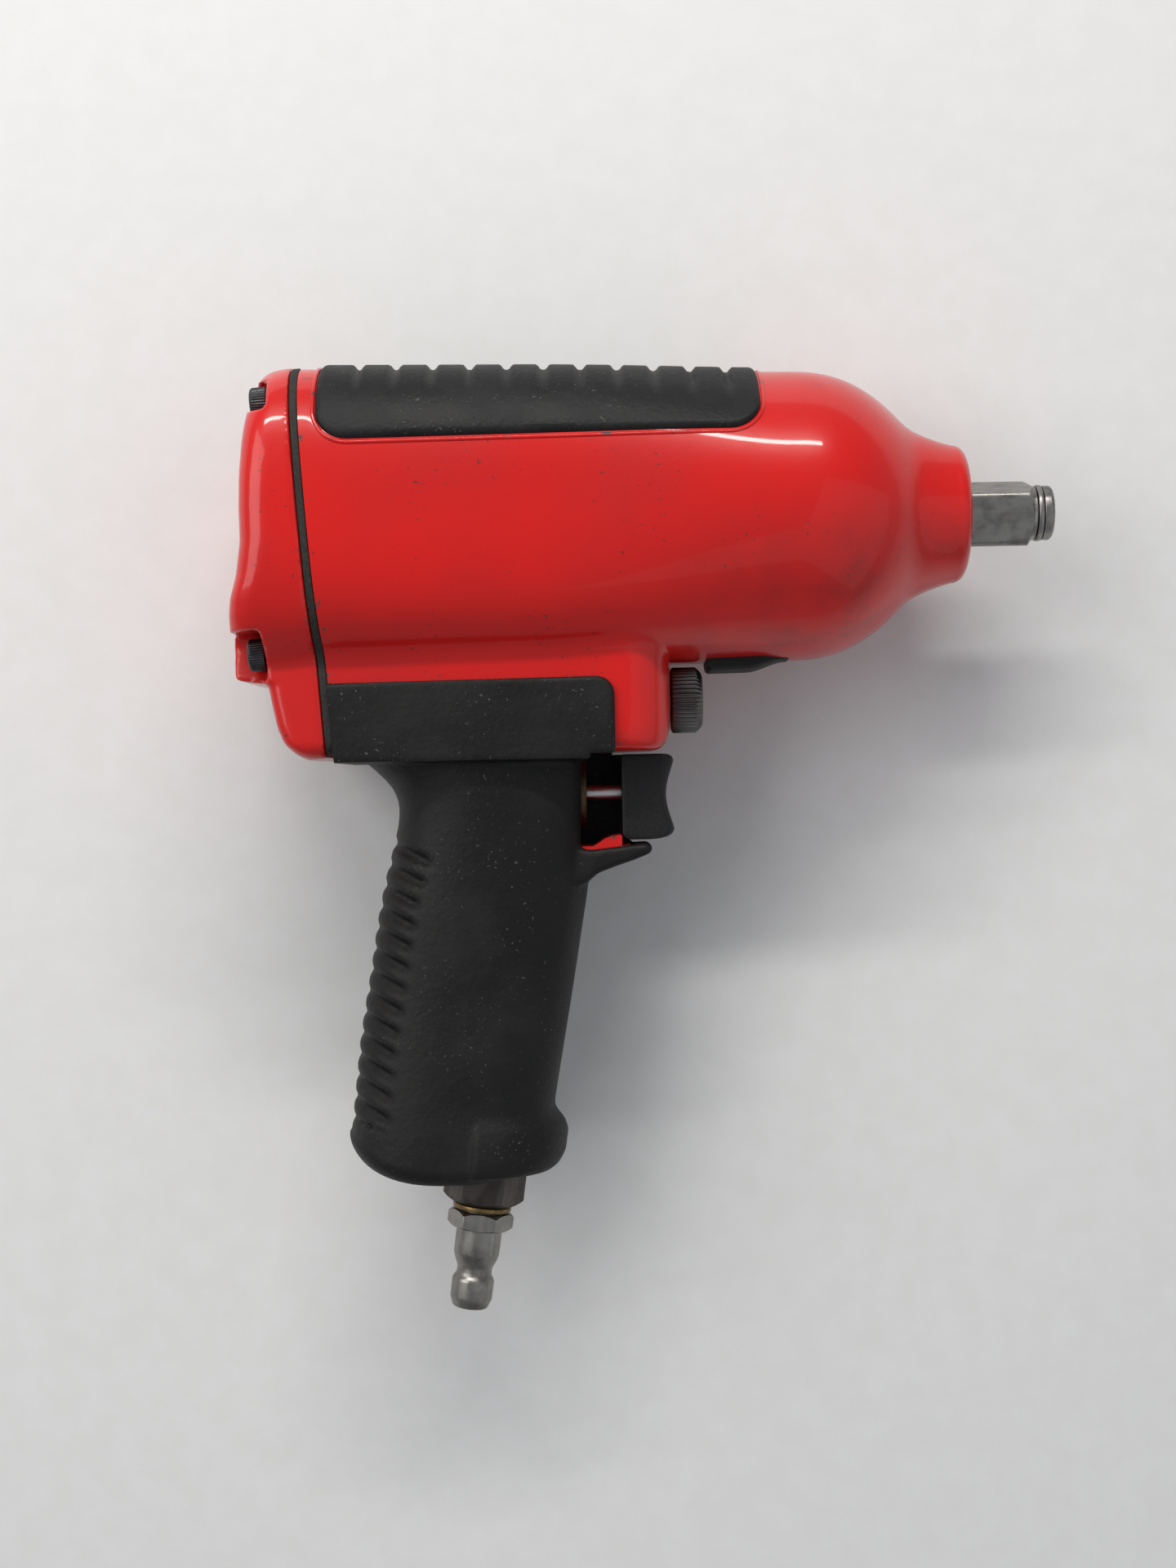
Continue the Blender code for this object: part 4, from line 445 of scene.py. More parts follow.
def settle(piece, smooth_angle=SMOOTH_ANGLE):
    """Makes the result of a piece's modifiers its mesh."""
    bpy.context.view_layer.update()
    shown = piece.evaluated_get(bpy.context.evaluated_depsgraph_get())
    mesh = bpy.data.meshes.new_from_object(shown)
    old = piece.data
    piece.modifiers.clear()
    piece.data = mesh
    mesh.name = piece.name
    mesh.shade_smooth()
    mesh.set_sharp_from_angle(angle=math.radians(smooth_angle))
    bpy.data.meshes.remove(old)
    return piece


def combine(piece, others, operation="DIFFERENCE"):
    """Cuts, joins or keeps other closed pieces, which are then removed."""
    for other in others:
        step = piece.modifiers.new("combine", "BOOLEAN")
        step.operation = operation
        step.solver = "MANIFOLD"
        step.object = other
    settle(piece)
    for other in others:
        bpy.data.objects.remove(other, do_unlink=True)
    return piece


def melt(piece, voxel, rounds, factor=0.5):
    """Fuses overlapping shapes into one skin and softens their joints, as casting and moulding do."""
    remesh = piece.modifiers.new("skin", "REMESH")
    remesh.mode = "VOXEL"
    remesh.voxel_size = voxel * MM
    soften = piece.modifiers.new("soften", "SMOOTH")
    soften.factor = factor
    soften.iterations = rounds
    return settle(piece)


def merge_shapes(name, pieces, finish):
    """One object that holds several closed shapes."""
    points, faces = [], []
    for piece in pieces:
        start = len(points)
        points += [v.co / MM for v in piece.data.vertices]
        faces += [tuple(start + i for i in f.vertices) for f in piece.data.polygons]
        bpy.data.objects.remove(piece, do_unlink=True)
    return piece_from(name, points, faces, finish)


def box_piece(name, low, high, finish=None):
    corners = [(low[1], low[2]), (high[1], low[2]), (high[1], high[2]), (low[1], high[2])]
    return skin_over(name, [[(x, y, z) for y, z in corners] for x in (low[0], high[0])], finish)


def prism_piece(name, outline, low, high, finish=None):
    """A side view in (x, y) pulled out along Z."""
    return skin_over(name, [[(x, y, z) for x, y in outline] for z in (low, high)], finish)


def fit(piece, body, slot, *nodes):
    """Hangs a piece on its body and puts it in its solids' place; slot is not used."""
    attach(piece, body)
    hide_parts(*nodes)
    print(piece.name, len(piece.data.vertices), "points for", ", ".join(nodes))
    return piece


def ease(value, low, high):
    t = np.clip((np.asarray(value, float) - low) / (high - low), 0.0, 1.0)
    return t * t * (3.0 - 2.0 * t)


def placed(piece, matrix):
    """Moves a mesh built about the drive axis to its own place, given in millimetres."""
    scale = Matrix.Scale(MM, 4)
    piece.data.transform(scale @ matrix @ scale.inverted())
    return piece


print("kit for meshes ready")

# %% [markdown]
# ## The barrel's form
# The casing's barrel is not a plain tube. Its nose flares into a full shoulder, then the section goes
# from round to a rounded square towards the rear cover. A superellipse does that with one number.
# The block under it is a rounded box. Taking the larger of the two reaches at each angle, with a
# little blending, gives the fillet that a casting has where two shapes meet. The rubber pad's outline
# is worked out here too, because the skin sinks a little below the pad.

# %% Barrel form
NOSE_X, NECK_X, SHOULDER_X, REAR_X = -20.0, -33.5, -60.0, -169.0
LIP_R, NECK_R, SHOULDER_R, REAR_R = 15.3, 19.8, 32.8, 34.2
JOINT_X, JOINT_LEAN = -166.5, 4.4
BLOCK_FRONT, BLOCK_MIDDLE, BLOCK_BOTTOM, BLOCK_HALF = -88.0, -132.0, -53.0, 20.5


def barrel_radius(x):
    x = np.asarray(x, float)
    flare = LIP_R + (NECK_R - LIP_R) * np.clip((NOSE_X - x) / (NOSE_X - NECK_X), 0.0, None) ** 1.6
    share = np.clip((NECK_X - x) / (NECK_X - SHOULDER_X), 0.0, 1.0)
    shoulder = NECK_R + (SHOULDER_R - NECK_R) * (1.0 - (1.0 - share) ** 2.4)
    taper = SHOULDER_R + (REAR_R - SHOULDER_R) * (SHOULDER_X - x) / (SHOULDER_X - REAR_X)
    return np.where(x >= NECK_X, flare, np.where(x >= SHOULDER_X, shoulder, taper))


def barrel_section(x):
    """Half height, half width and superellipse power at a station; the neck's corner is eased."""
    height = sum(barrel_radius(x + d) for d in (-1.8, -0.9, 0.0, 0.9, 1.8)) / 5.0
    square = float(ease(-x, 60.0, 120.0))
    return float(height), float(height) * (1.0 - 0.055 * square), 2.0 + 0.9 * square


def barrel_reach(x, angles):
    height, width, power = barrel_section(x)
    c, s = np.cos(angles), np.sin(angles)
    return (np.abs(c / width) ** power + np.abs(s / height) ** power) ** (-1.0 / power)


def block_reach(x, angles):
    """Reach of the rounded block below the barrel, zero where it does not lie."""
    share = abs(x - BLOCK_MIDDLE) / (BLOCK_FRONT - BLOCK_MIDDLE)
    if share >= 1.0 and x > BLOCK_MIDDLE:
        return np.zeros_like(angles)
    front = (1.0 - share**34) ** (1 / 14) if x > BLOCK_MIDDLE else 1.0
    inset = 10.0 * (1.0 - math.sqrt(max(1.0 - (max(x + 98.0, 0.0) / 10.0) ** 2, 0.0)))
    half = BLOCK_HALF - inset
    c, s = np.cos(angles), np.minimum(np.sin(angles), -1e-3)
    reach = (np.abs(c / half) ** 16 + np.abs(s / -BLOCK_BOTTOM) ** 16) ** (-1 / 16)
    return np.where(np.sin(angles) < -0.3, reach * front, 0.0)


def skin_reach(x, angles, blend=4.0):
    first, second = barrel_reach(x, angles), block_reach(x, angles)
    share = np.clip(0.5 + 0.5 * (first - second) / blend, 0.0, 1.0)
    return second * (1 - share) + first * share + blend * share * (1 - share)


def joint_lean(x, y):
    """How far a station leans back at a height so that the rear edge follows the joint plane."""
    return -y * math.tan(math.radians(JOINT_LEAN)) * float(ease(-x, 105.0, -JOINT_X))


def on_barrel(x, angle, proud=0.0):
    """A point on the barrel's skin, in millimetres."""
    reach = barrel_reach(x, np.array([angle]))[0] + proud
    return (x, reach * math.sin(angle), reach * math.cos(angle))


PAD_FRONT, PAD_REAR, PAD_EDGE_Y, PAD_ROUND = -67.7, -164.4, 16.0, 7.0


def pad_edge(x, grow=0.0):
    """Angle of the rubber pad's lower edge at a station; the four corners are round."""
    rise, corner = 0.0, PAD_ROUND + grow
    for end in (PAD_FRONT + grow, PAD_REAR - grow):
        near = abs(end - x)
        if near < corner:
            rise = corner - math.sqrt(max(corner**2 - (corner - near) ** 2, 0.0))
    height, width, power = barrel_section(x)
    y = min(PAD_EDGE_Y - 0.015 * (PAD_FRONT - x) - grow + rise, height - 2.0)
    return math.atan2(y, width * (1.0 - (y / height) ** power) ** (1.0 / power))


def pad_recess(x, angles):
    """How far the skin sinks below the pad, so that no paint shows in the pad's grooves."""
    to_end = min(PAD_FRONT - x, x - PAD_REAR)
    if to_end < 1.6:
        return np.zeros_like(angles)
    edge = pad_edge(x)
    to_side = np.minimum(angles - edge, math.pi - edge - angles) * 34.0
    return 1.0 * ease(np.minimum(to_side, to_end), 1.6, 3.2)


print("half height at the rear", round(barrel_section(REAR_X)[0], 2), "mm")

# %% [markdown]
# ## The casing
# The skin starts inside the nose, rolls over the rim, runs back over the barrel and block to the rear
# joint, and returns inside as the bore, so it is one closed ring of a shape. Stations crowd together
# at the rim and at the block's front, where the form turns quickly.

# %% Casing
upper = np.linspace(0.0, math.pi, 72, endpoint=False)
lower = np.linspace(math.pi, math.tau, 168, endpoint=False)
BARREL_ANGLES = np.concatenate([upper, lower])
NOSE_BORE_R, BUSH_BORE_R, HAMMER_BORE_R, MOTOR_BORE_R = 10.2, 12.9, 28.2, 29.8
BUSH_BACK, HAMMERS_FROM, MOTOR_FROM = -47.0, -50.8, -94.0


def plain_ring(x, radius):
    return [(x, radius * math.sin(a), radius * math.cos(a)) for a in BARREL_ANGLES]


def outer_ring(x):
    reach = skin_reach(x, BARREL_ANGLES) - pad_recess(x, BARREL_ANGLES)
    points = []
    for a, r in zip(BARREL_ANGLES, reach):
        y, z = r * math.sin(a), r * math.cos(a)
        points.append((x + joint_lean(x, y), y, z))
    return points


def rear_ring(radius):
    """A ring of the bore that lies in the leaning joint plane."""
    lean = math.tan(math.radians(JOINT_LEAN))
    return [
        (JOINT_X - radius * math.sin(a) * lean, radius * math.sin(a), radius * math.cos(a))
        for a in BARREL_ANGLES
    ]


def casing_rings():
    rings = [
        plain_ring(BUSH_BACK, BUSH_BORE_R), plain_ring(-22.5, BUSH_BORE_R),
        plain_ring(-22.5, NOSE_BORE_R), plain_ring(-20.6, NOSE_BORE_R),
    ]
    rings += [plain_ring(-20.0, 10.7)]
    rim = 3.0
    for turn in np.linspace(0.0, math.pi / 2, 10):
        rings.append(
            plain_ring(NOSE_X - rim + rim * math.cos(turn), LIP_R + 0.4 - rim + rim * math.sin(turn))
        )
    stations = list(np.linspace(-23.8, -45.0, 26)) + list(np.linspace(-46.5, -84.0, 28))
    shares = [
        1.004, 1.0008, 0.99995, 0.9998, 0.9995, 0.999, 0.998, 0.9965, 0.9945, 0.992, 0.988, 0.983,
        0.976, 0.967,
    ]
    stations += [
        BLOCK_MIDDLE + (BLOCK_FRONT - BLOCK_MIDDLE) * s
        for s in [1.05, 1.025, 1.012] + shares + [0.955, 0.94, 0.92, 0.9, 0.87, 0.84, 0.8, 0.77, 0.74]
    ]
    stations += list(np.linspace(-101.5, JOINT_X, 46))
    rings += [outer_ring(x) for x in stations]
    rings += [rear_ring(30.4), rear_ring(MOTOR_BORE_R)]
    rings += [
        plain_ring(MOTOR_FROM, MOTOR_BORE_R), plain_ring(MOTOR_FROM, HAMMER_BORE_R),
        plain_ring(HAMMERS_FROM, HAMMER_BORE_R), plain_ring(BUSH_BACK, 22.2),
    ]
    return rings


casing = skin_over("casing_barrel", casing_rings(), "red_paint", "joined")
fit(casing, "housing", "red_paint", "housing")

# %% [markdown]
# ## The handle's core
# Inside the rubber the casting goes on as a hollow handle. Only its foot, with the air inlet and the
# exhaust, and the small red ledge under the trigger show. So it is a plain loft with the same outline
# as the grip, set in by the rubber's thickness, with real holes cut where the fittings go. Its lower
# end follows the rubber's edge, so that no red stands out below it.

# %% Handle core
HANDLE_FRONT = [(-152.0, -118.6), (-133.0, -115.8), (-105.0, -110.8), (-81.7, -106.9), (-50.0, -106.4)]
HANDLE_BACK = [
    (-152.0, -163.0), (-139.6, -162.2), (-126.7, -160.8), (-118.0, -159.9), (-110.0, -158.6),
    (-100.0, -156.8),
]
HANDLE_BACK += [
    (-90.0, -155.3), (-80.0, -153.2), (-71.0, -150.6), (-65.0, -149.5), (-60.5, -150.4),
    (-56.5, -154.4), (-53.0, -160.0), (-48.0, -163.0),
]
HANDLE_HALF = [(-152.0, 19.4), (-139.6, 19.2), (-110.0, 17.4), (-75.0, 17.4), (-50.0, 18.8)]


def along(line, y):
    """A size read from (height, size) points; the corners of the line are eased."""
    heights, sizes = zip(*line)
    return float(sum(np.interp(y + d, heights, sizes) for d in (-4.0, -2.0, 0.0, 2.0, 4.0)) / 5.0)


def on_handle(y, angle, inset=0.0):
    front, back = along(HANDLE_FRONT, y) - inset, along(HANDLE_BACK, y) + inset
    half = along(HANDLE_HALF, y) - inset
    c, s = math.cos(angle), math.sin(angle)
    depth = (front - back) / 2
    reach = (abs(c / depth) ** 2.5 + abs(s / half) ** 2.5) ** -0.4
    return ((front + back) / 2 + reach * c, y, reach * s)


def foot_edge(x):
    """The grip's lower edge bows down between its front and rear corners."""
    rise, power = (4.6, 2.2) if x > -138.3 else (7.0, 2.8)
    return -149.0 + rise * abs((x + 138.3) / 24.5) ** power


def inlet_place(depth=0.0):
    """Matrix that stands the lathe's axis along the air inlet, down and out of the handle."""
    lean = math.radians(8.0)
    out = Vector((-math.sin(lean), -math.cos(lean), 0.0))
    side = Vector((0.0, 0.0, 1.0))
    turn = Matrix((out, side.cross(out), side)).transposed().to_4x4()
    return Matrix.Translation(Vector((-131.8, -149.5, 0.0)) + out * depth) @ turn


def bar_between(name, start, end, radius, sides=40):
    start = Vector(start)
    way = Vector(end) - start
    bar = turned_piece(name, [(0.0, radius), (way.length, radius)], None, sides)
    turn = Vector((1, 0, 0)).rotation_difference(way.normalized()).to_matrix().to_4x4()
    return placed(bar, Matrix.Translation(start) @ turn)


EXHAUST_FROM, EXHAUST_TO = Vector((-137.0, -26.0, 0.0)), Vector((-150.0, -156.0, 0.0))
turns = np.linspace(0.0, math.tau, 72, endpoint=False)
core_rings = [[on_handle(y, a, 2.6) for a in turns] for y in np.linspace(-47.0, -146.3, 60)]
core_rings = [[(x, max(y, foot_edge(x) + 1.8), z) for x, y, z in ring] for ring in core_rings]
core = skin_over("casing_core", core_rings, "red_paint")
spot = placed(turned_piece("spot", [(-4.65, 10.4), (20.0, 10.4)], None), inlet_place())
thread_hole = placed(turned_piece("thread_hole", [(-18.0, 8.5), (6.0, 8.5)], None), inlet_place())
exhaust_hole = bar_between("exhaust_hole", EXHAUST_FROM.lerp(EXHAUST_TO, 0.7), EXHAUST_TO, 5.0)
stem_hole = turned_piece("stem_hole", [(-95.0, 8.0), (-120.0, 8.0)], None, 48, (-62.2, 0.0))
combine(core, [spot, thread_hole, exhaust_hole, stem_hole])
fit(core, "housing", "red_paint", "housing")

ledge_view = [
    (-112.0, -74.6), (-101.0, -74.4), (-97.9, -74.0), (-97.0, -74.5), (-97.0, -76.0), (-101.0, -77.8),
    (-112.0, -79.0),
]
ledge = prism_piece("casing_ledge", ledge_view, -9.1, 9.1, "red_paint")
cheek_view = [
    (-112.0, -74.3), (-106.0, -74.2), (-104.8, -73.6), (-103.4, -72.6), (-101.6, -71.9), (-99.7, -71.7),
    (-99.4, -72.0),
]
cheek_view += [(-99.4, -76.6), (-101.0, -77.8), (-112.0, -79.0)]
combine(ledge, [prism_piece("cheek", cheek_view, low, low + 1.4) for low in (7.7, -9.1)], "UNION")
fit(ledge, "housing", "red_paint", "housing")

# %% [markdown]
# ## The rubber pad over the barrel
# The pad follows the barrel's skin but stands a little proud of it, with rounded edges and eleven
# finger grooves across its crown. Its height over the skin is one formula of the distance to its
# edge and to the nearest groove. The groove fades out down the side, as on the moulded part.

# %% Rubber pad
GROOVE_CENTRES = [-74.3 - 8.19 * i for i in range(11)]


def pad_height(x, angle, edge):
    to_side = min(angle - edge, math.pi - edge - angle) * 34.0
    to_end = min(PAD_FRONT - x, x - PAD_REAR)
    share = min(max(min(to_side, to_end) / 1.5, 0.0), 1.0)
    crown = -0.5 + 1.45 * math.sqrt(1.0 - (1.0 - share) ** 2)
    away = min(abs(x - c) for c in GROOVE_CENTRES)
    groove = 1.2 * (1.0 - float(ease(away, 0.35, 1.6)))
    up_side = float(ease(barrel_section(x)[0] * math.sin(angle), 21.5, 29.5))
    return crown - groove * up_side * share


def pad_rings():
    stations = np.concatenate(
        [
            PAD_FRONT - np.array([0, 0.15, 0.4, 0.8, 1.2, 1.6]), np.linspace(-69.8, -162.5, 190),
            PAD_REAR + np.array([1.6, 1.2, 0.8, 0.4, 0.15, 0]),
        ]
    )
    shares = np.concatenate(
        [[0, 0.004, 0.012, 0.022, 0.034], np.linspace(0.05, 0.95, 46), [0.966, 0.978, 0.988, 0.996, 1.0]]
    )
    rings = []
    for x in stations:
        edge = pad_edge(x)
        angles = edge + (math.pi - 2 * edge) * shares
        outer = [on_barrel(x, a, pad_height(x, a, edge)) for a in angles]
        inner = [on_barrel(x, a, -0.6) for a in angles[::-1]]
        rings.append(outer + inner)
    return rings


pad = skin_over("top_pad", pad_rings(), "black_rubber")
fit(pad, "housing", "black_rubber", "top_grip_pad")

# %% [markdown]
# ## The lip round the pad
# The pad lies in a shallow recess, and the paint runs up into a low lip along its edge. That lip
# catches the light as a thin bright line. A slim tube half sunk in the skin, along the same outline,
# gives the same line.


# %% Lip round the pad
def outline_of_pad(grow):
    xs = np.concatenate(
        [
            PAD_FRONT + grow - (PAD_ROUND + grow) * (1 - np.cos(np.linspace(0.0, math.pi / 2, 14))),
            np.linspace(-76.0, -156.2, 60),
            PAD_REAR - grow + (PAD_ROUND + grow) * (1 - np.sin(np.linspace(0.0, math.pi / 2, 14))),
        ]
    )
    right = [(x, pad_edge(x, grow)) for x in xs]
    front_arc = [(PAD_FRONT + grow, a) for a in np.linspace(math.pi - right[0][1], right[0][1], 30)[1:-1]]
    rear_arc = [(PAD_REAR - grow, a) for a in np.linspace(right[-1][1], math.pi - right[-1][1], 30)[1:-1]]
    left = [(x, math.pi - a) for x, a in reversed(right)]
    return right + rear_arc + left + front_arc


def tube_along(name, path, radius, finish, sides=8):
    """A tube round a closed path of points, with each ring square to the path."""
    path = np.array(path)
    before, after = np.roll(path, 1, axis=0), np.roll(path, -1, axis=0)
    way = after - before
    way /= np.linalg.norm(way, axis=1)[:, None]
    rings = []
    for point, ahead in zip(path, way):
        out = np.array([0.0, point[1], point[2]])
        out -= ahead * out.dot(ahead)
        out /= np.linalg.norm(out)
        side = np.cross(ahead, out)
        rings.append(
            [
                point + radius * (math.cos(t) * out + math.sin(t) * side)
                for t in np.linspace(0, math.tau, sides, endpoint=False)
            ]
        )
    return skin_over(name, rings, finish, "joined", 80.0)


lip = tube_along("pad_lip", [on_barrel(x, a, -0.12) for x, a in outline_of_pad(0.55)], 0.5, "red_paint")
fit(lip, "housing", "red_paint", "housing")

# %% [markdown]
# ## The rubber strip under the barrel
# A short strip ahead of the knob keeps the paint off the bench. It starts flush with the barrel and
# stands proud at the back, so its underside is a ramp.


# %% Rubber strip
def strip_rings():
    rings = []
    for share in np.concatenate([[0.0, 0.01, 0.03], np.linspace(0.06, 0.96, 24), [0.98, 0.993, 1.0]]):
        x = -61.0 - 18.6 * share
        half = 8.0 * (0.72 + 0.28 * float(ease(share, 0.0, 0.35)))
        proud = 0.2 + 2.2 * float(ease(share, 0.0, 0.5))
        turn = math.asin(half / barrel_section(x)[0])
        angles = -math.pi / 2 + turn * np.linspace(-1.0, 1.0, 25)
        rounding = np.sqrt(1.0 - np.clip((np.abs(np.linspace(-1, 1, 25)) - 0.82) / 0.18, 0, 1) ** 2)
        back = 1.0 if share < 0.96 else math.sqrt(max(1.0 - ((share - 0.96) / 0.04) ** 2, 0.0))
        outer = [
            on_barrel(x, a, -0.4 + (proud + 0.4) * r * (0.35 + 0.65 * back))
            for a, r in zip(angles, rounding)
        ]
        rings.append(outer + [on_barrel(x, a, -0.9) for a in angles[::-1]])
    return rings


strip = skin_over("under_strip", strip_rings(), "black_rubber")
fit(strip, "housing", "black_rubber", "lower_bumper")

# %% [markdown]
# ## The handle grip
# The grip is one moulding: a skin round the handle with slanted grooves at the back, panels on both
# sides of the block, a lip under the trigger, a wall on the far side of the trigger and a toe at the
# foot. Each is built as a closed shape that overlaps its neighbours. A fine voxel skin then fuses
# them, and smoothing gives the soft joints of moulded rubber, which bevels on such mixed shapes would
# not. Last, room is cut in it for the casing and for the trigger on its way back.

# %% Grip shapes
GRIP_GROOVES = [-72.8 - 4.75 * i for i in range(14)]
GRIP_TOP, GRIP_LAST = -54.4, -138.76


def handle_rings():
    angles = np.linspace(0.0, math.tau, 112, endpoint=False)
    rings = []
    for level in np.concatenate([[-50.0], np.linspace(GRIP_TOP, GRIP_LAST, 176)]):
        away = min(abs(level - c) for c in GRIP_GROOVES)
        dent = 1.0 - float(ease(away, 0.35, 1.5))
        share = (level - GRIP_TOP) / (GRIP_LAST - GRIP_TOP)
        strength = float(ease(share, 0.02, 0.18)) * (1.0 - float(ease(share, 0.9, 1.0)))
        ring = []
        for angle in angles:
            ahead = on_handle(level, angle)[0] - along(HANDLE_BACK, level)
            lean = (0.62 * min(ahead, 2.4) + 0.42 * min(max(ahead - 2.4, 0.0), 9.0)) * strength
            depth = dent * (0.7 + 0.75 * float(ease(ahead, 0.3, 3.5))) * (1.0 - float(ease(ahead, 7.6, 10.4)))
            ring.append(on_handle(level - lean, angle, depth))
        rings.append(ring)
    for turn in np.linspace(0.0, math.pi / 2, 9):
        ring = []
        for angle in angles:
            x, _, z = on_handle(-145.0, angle, 4.0 * (1 - math.cos(turn)))
            ring.append((x, foot_edge(x) + 4.0 * (1 - math.sin(turn)), z))
        rings.append(ring)
    return rings


def toe_rings():
    rings = []
    heights, reaches = zip(
        (-147.5, 1.0), (-146.0, 2.9), (-143.5, 4.0), (-139.0, 4.0), (-136.8, 3.0), (-135.0, 1.2),
        (-133.4, 0.1),
    )
    for y in np.linspace(-132.4, -147.2, 26):
        reach = float(np.interp(y, heights, reaches))
        ring = []
        for k in np.linspace(-72.0, 72.0, 49):
            angle = math.radians(k)
            x, _, z = on_handle(y, angle, -reach * (0.25 + 0.75 * math.cos(angle) ** 2))
            ring.append((x, y, z))
        rings.append(ring + [(-136.0, y, ring[-1][2] - 3.0), (-136.0, y, ring[0][2] + 3.0)])
    return rings


def panel_outline(inset):
    """Side view of the panels beside the block, with a round upper front corner."""
    corner = [
        (-104.7 + 4.0 * math.cos(t), -40.5 + 4.0 * math.sin(t))
        for t in np.linspace(0.0, math.pi / 2, 9)
    ]
    points = [(-100.7, -53.4)] + corner + [(-172.0, -37.3), (-172.0, -54.7), (-106.7, -54.7), (-105.9, -53.4)]
    shrunk = []
    for x, y in points:
        away = Vector((x + 134.0, y + 47.0))
        away *= 1 - inset / max(away.length, 1.0)
        shrunk.append((-134.0 + away.x, -47.0 + away.y))
    return shrunk


panel_rings = []
for z, inset in ((-22.5, 0.8), (-22.2, 0.35), (-21.7, 0.0), (21.7, 0.0), (22.2, 0.35), (22.5, 0.8)):
    panel_rings.append([(x, y, z) for x, y in panel_outline(inset)])

GUARD_TOP = [(-124.0, -73.0), (-106.2, -74.9), (-101.0, -74.3), (-96.0, -73.7), (-93.6, -73.6)]
GUARD_TIP = [(-92.7, -74.1), (-92.4, -75.0), (-92.9, -76.0)]
GUARD_UNDER = [(-96.6, -77.5), (-100.3, -78.7), (-104.7, -80.3), (-107.5, -82.6), (-124.0, -87.0)]
guard_rings = []
for z, low in (
    (-11.0, 1.2), (-10.6, 0.6), (-9.8, 0.2), (-5.0, 0.0), (5.0, 0.0), (9.8, 0.2), (10.6, 0.6),
    (11.0, 1.2),
):
    view = [(x, y - low * 0.5) for x, y in GUARD_TOP] + [(x - low, y) for x, y in GUARD_TIP]
    guard_rings.append(
        [(x, y, z) for x, y in view + [(x - low * 0.5, y + low * 0.5) for x, y in GUARD_UNDER]]
    )
print("grip shapes:", len(panel_rings), "panel rings,", len(guard_rings), "guard rings")

# %% Grip
grip_shapes = [
    skin_over("handle_shape", handle_rings(), None),
    skin_over("toe_shape", toe_rings(), None),
    skin_over("panel_shape", panel_rings, None),
    skin_over("guard_shape", guard_rings, None),
    box_piece("wall_shape", (-118.0, -77.0, -12.6), (-97.4, -52.5, -8.0)),
]
grip = merge_shapes("grip", grip_shapes, "grip_rubber")
WELL_HALF, WALL_OUTSIDE = 9.4, 12.7
melt(grip, 0.62, 3)
core_room = skin_over(
    "core_room", [[on_handle(y, a, 2.3) for a in turns] for y in np.linspace(-44.0, -156.0, 44)], None,
)
block_room = box_piece("block_room", (-189.0, -53.5, -20.8), (-90.7, -20.0, 20.8))
window_view = [
    (-106.2, -53.4), (-106.2, -74.9), (-101.0, -74.3), (-96.0, -73.7), (-80.0, -73.0), (-80.0, -53.4),
]
window_room = prism_piece("window_room", window_view, -WELL_HALF, 40.0)
far_room = prism_piece("far_room", window_view, -40.0, -WALL_OUTSIDE)
mouth_room = box_piece("mouth_room", (-115.2, -74.6, -WELL_HALF), (-105.0, -49.4, WELL_HALF))
tip_room = box_piece("tip_room", (-97.4, -73.4, -13.0), (-80.0, -49.4, -9.0))
ledge_room = prism_piece(
    "ledge_room", [(-113.0, -73.0), (-96.2, -73.0), (-96.2, -76.2), (-101.0, -78.1), (-113.0, -79.3)],
    -9.4, 9.4,
)
rear_room = box_piece("rear_room", (-60.0, -90.0, -60.0), (-0.05, 70.0, 60.0))
rear_room.data.transform(
    Matrix.Translation((JOINT_X * MM, 0.0, 0.0)) @ Matrix.Rotation(math.radians(JOINT_LEAN), 4, "Z")
)
combine(grip, [core_room, block_room, window_room, far_room, mouth_room, tip_room, ledge_room, rear_room])
fit(grip, "housing", "black_rubber", "handle_grip")

# %% [markdown]
# ## The rear cover
# The cover is a shallow bell behind the joint. Its back is a given line of depths, swelling in
# the middle over the bearing, with a step down to the block. Two pockets at the top and two below hold
# the screws. Like the grip it is fused and smoothed once, so its edges are the soft edges of a casting.

# %% Cover shape
COVER_TOP, COVER_BOTTOM, COVER_FACE = 34.7, -53.6, 1.9
COVER_DEPTHS = [
    (-53.6, 6.2), (-52.4, 8.4), (-49.6, 11.0), (-45.8, 12.2), (-41.2, 12.8), (-35.6, 13.4),
    (-35.0, 20.4),
]
COVER_DEPTHS += [
    (-34.0, 21.0), (-25.6, 20.8), (-24.0, 19.9), (-21.5, 19.8), (-17.5, 19.0), (-12.4, 17.0),
    (-5.2, 15.4),
]
COVER_DEPTHS += [
    (2.0, 15.0), (9.0, 14.3), (16.3, 13.2), (20.0, 12.5), (25.0, 11.3), (29.0, 10.2), (32.0, 8.8),
    (33.8, 7.2), (34.7, 5.8),
]
SCREWS = [(25.4, 19.6), (25.4, -19.6), (-29.4, 17.6), (-29.4, -17.6)]
SLAB_BACK = -12.9
UPPER_SEAT = -7.0


def cover_depth(y):
    heights, depths = zip(*COVER_DEPTHS)
    return float(sum(np.interp(y + d, heights, depths) for d in (-0.6, -0.3, 0.0, 0.3, 0.6)) / 5.0)


def cover_half(y):
    """Half width of the cover: the barrel's outline above, the block's below, blended."""
    height, width, power = barrel_section(REAR_X)
    height = COVER_TOP + 0.05
    upper = width * (1.0 - min(abs(y) / height, 0.9999) ** power) ** (1.0 / power)
    if y > -12.0:
        return upper
    rise = max(COVER_BOTTOM + 4.0 - y, 0.0)
    lower = 21.2 - (4.0 - math.sqrt(max(16.0 - rise**2, 0.0)))
    share = min(max(0.5 + 0.5 * (upper - lower) / 3.0, 0.0), 1.0)
    return lower * (1 - share) + upper * share + 3.0 * share * (1 - share)


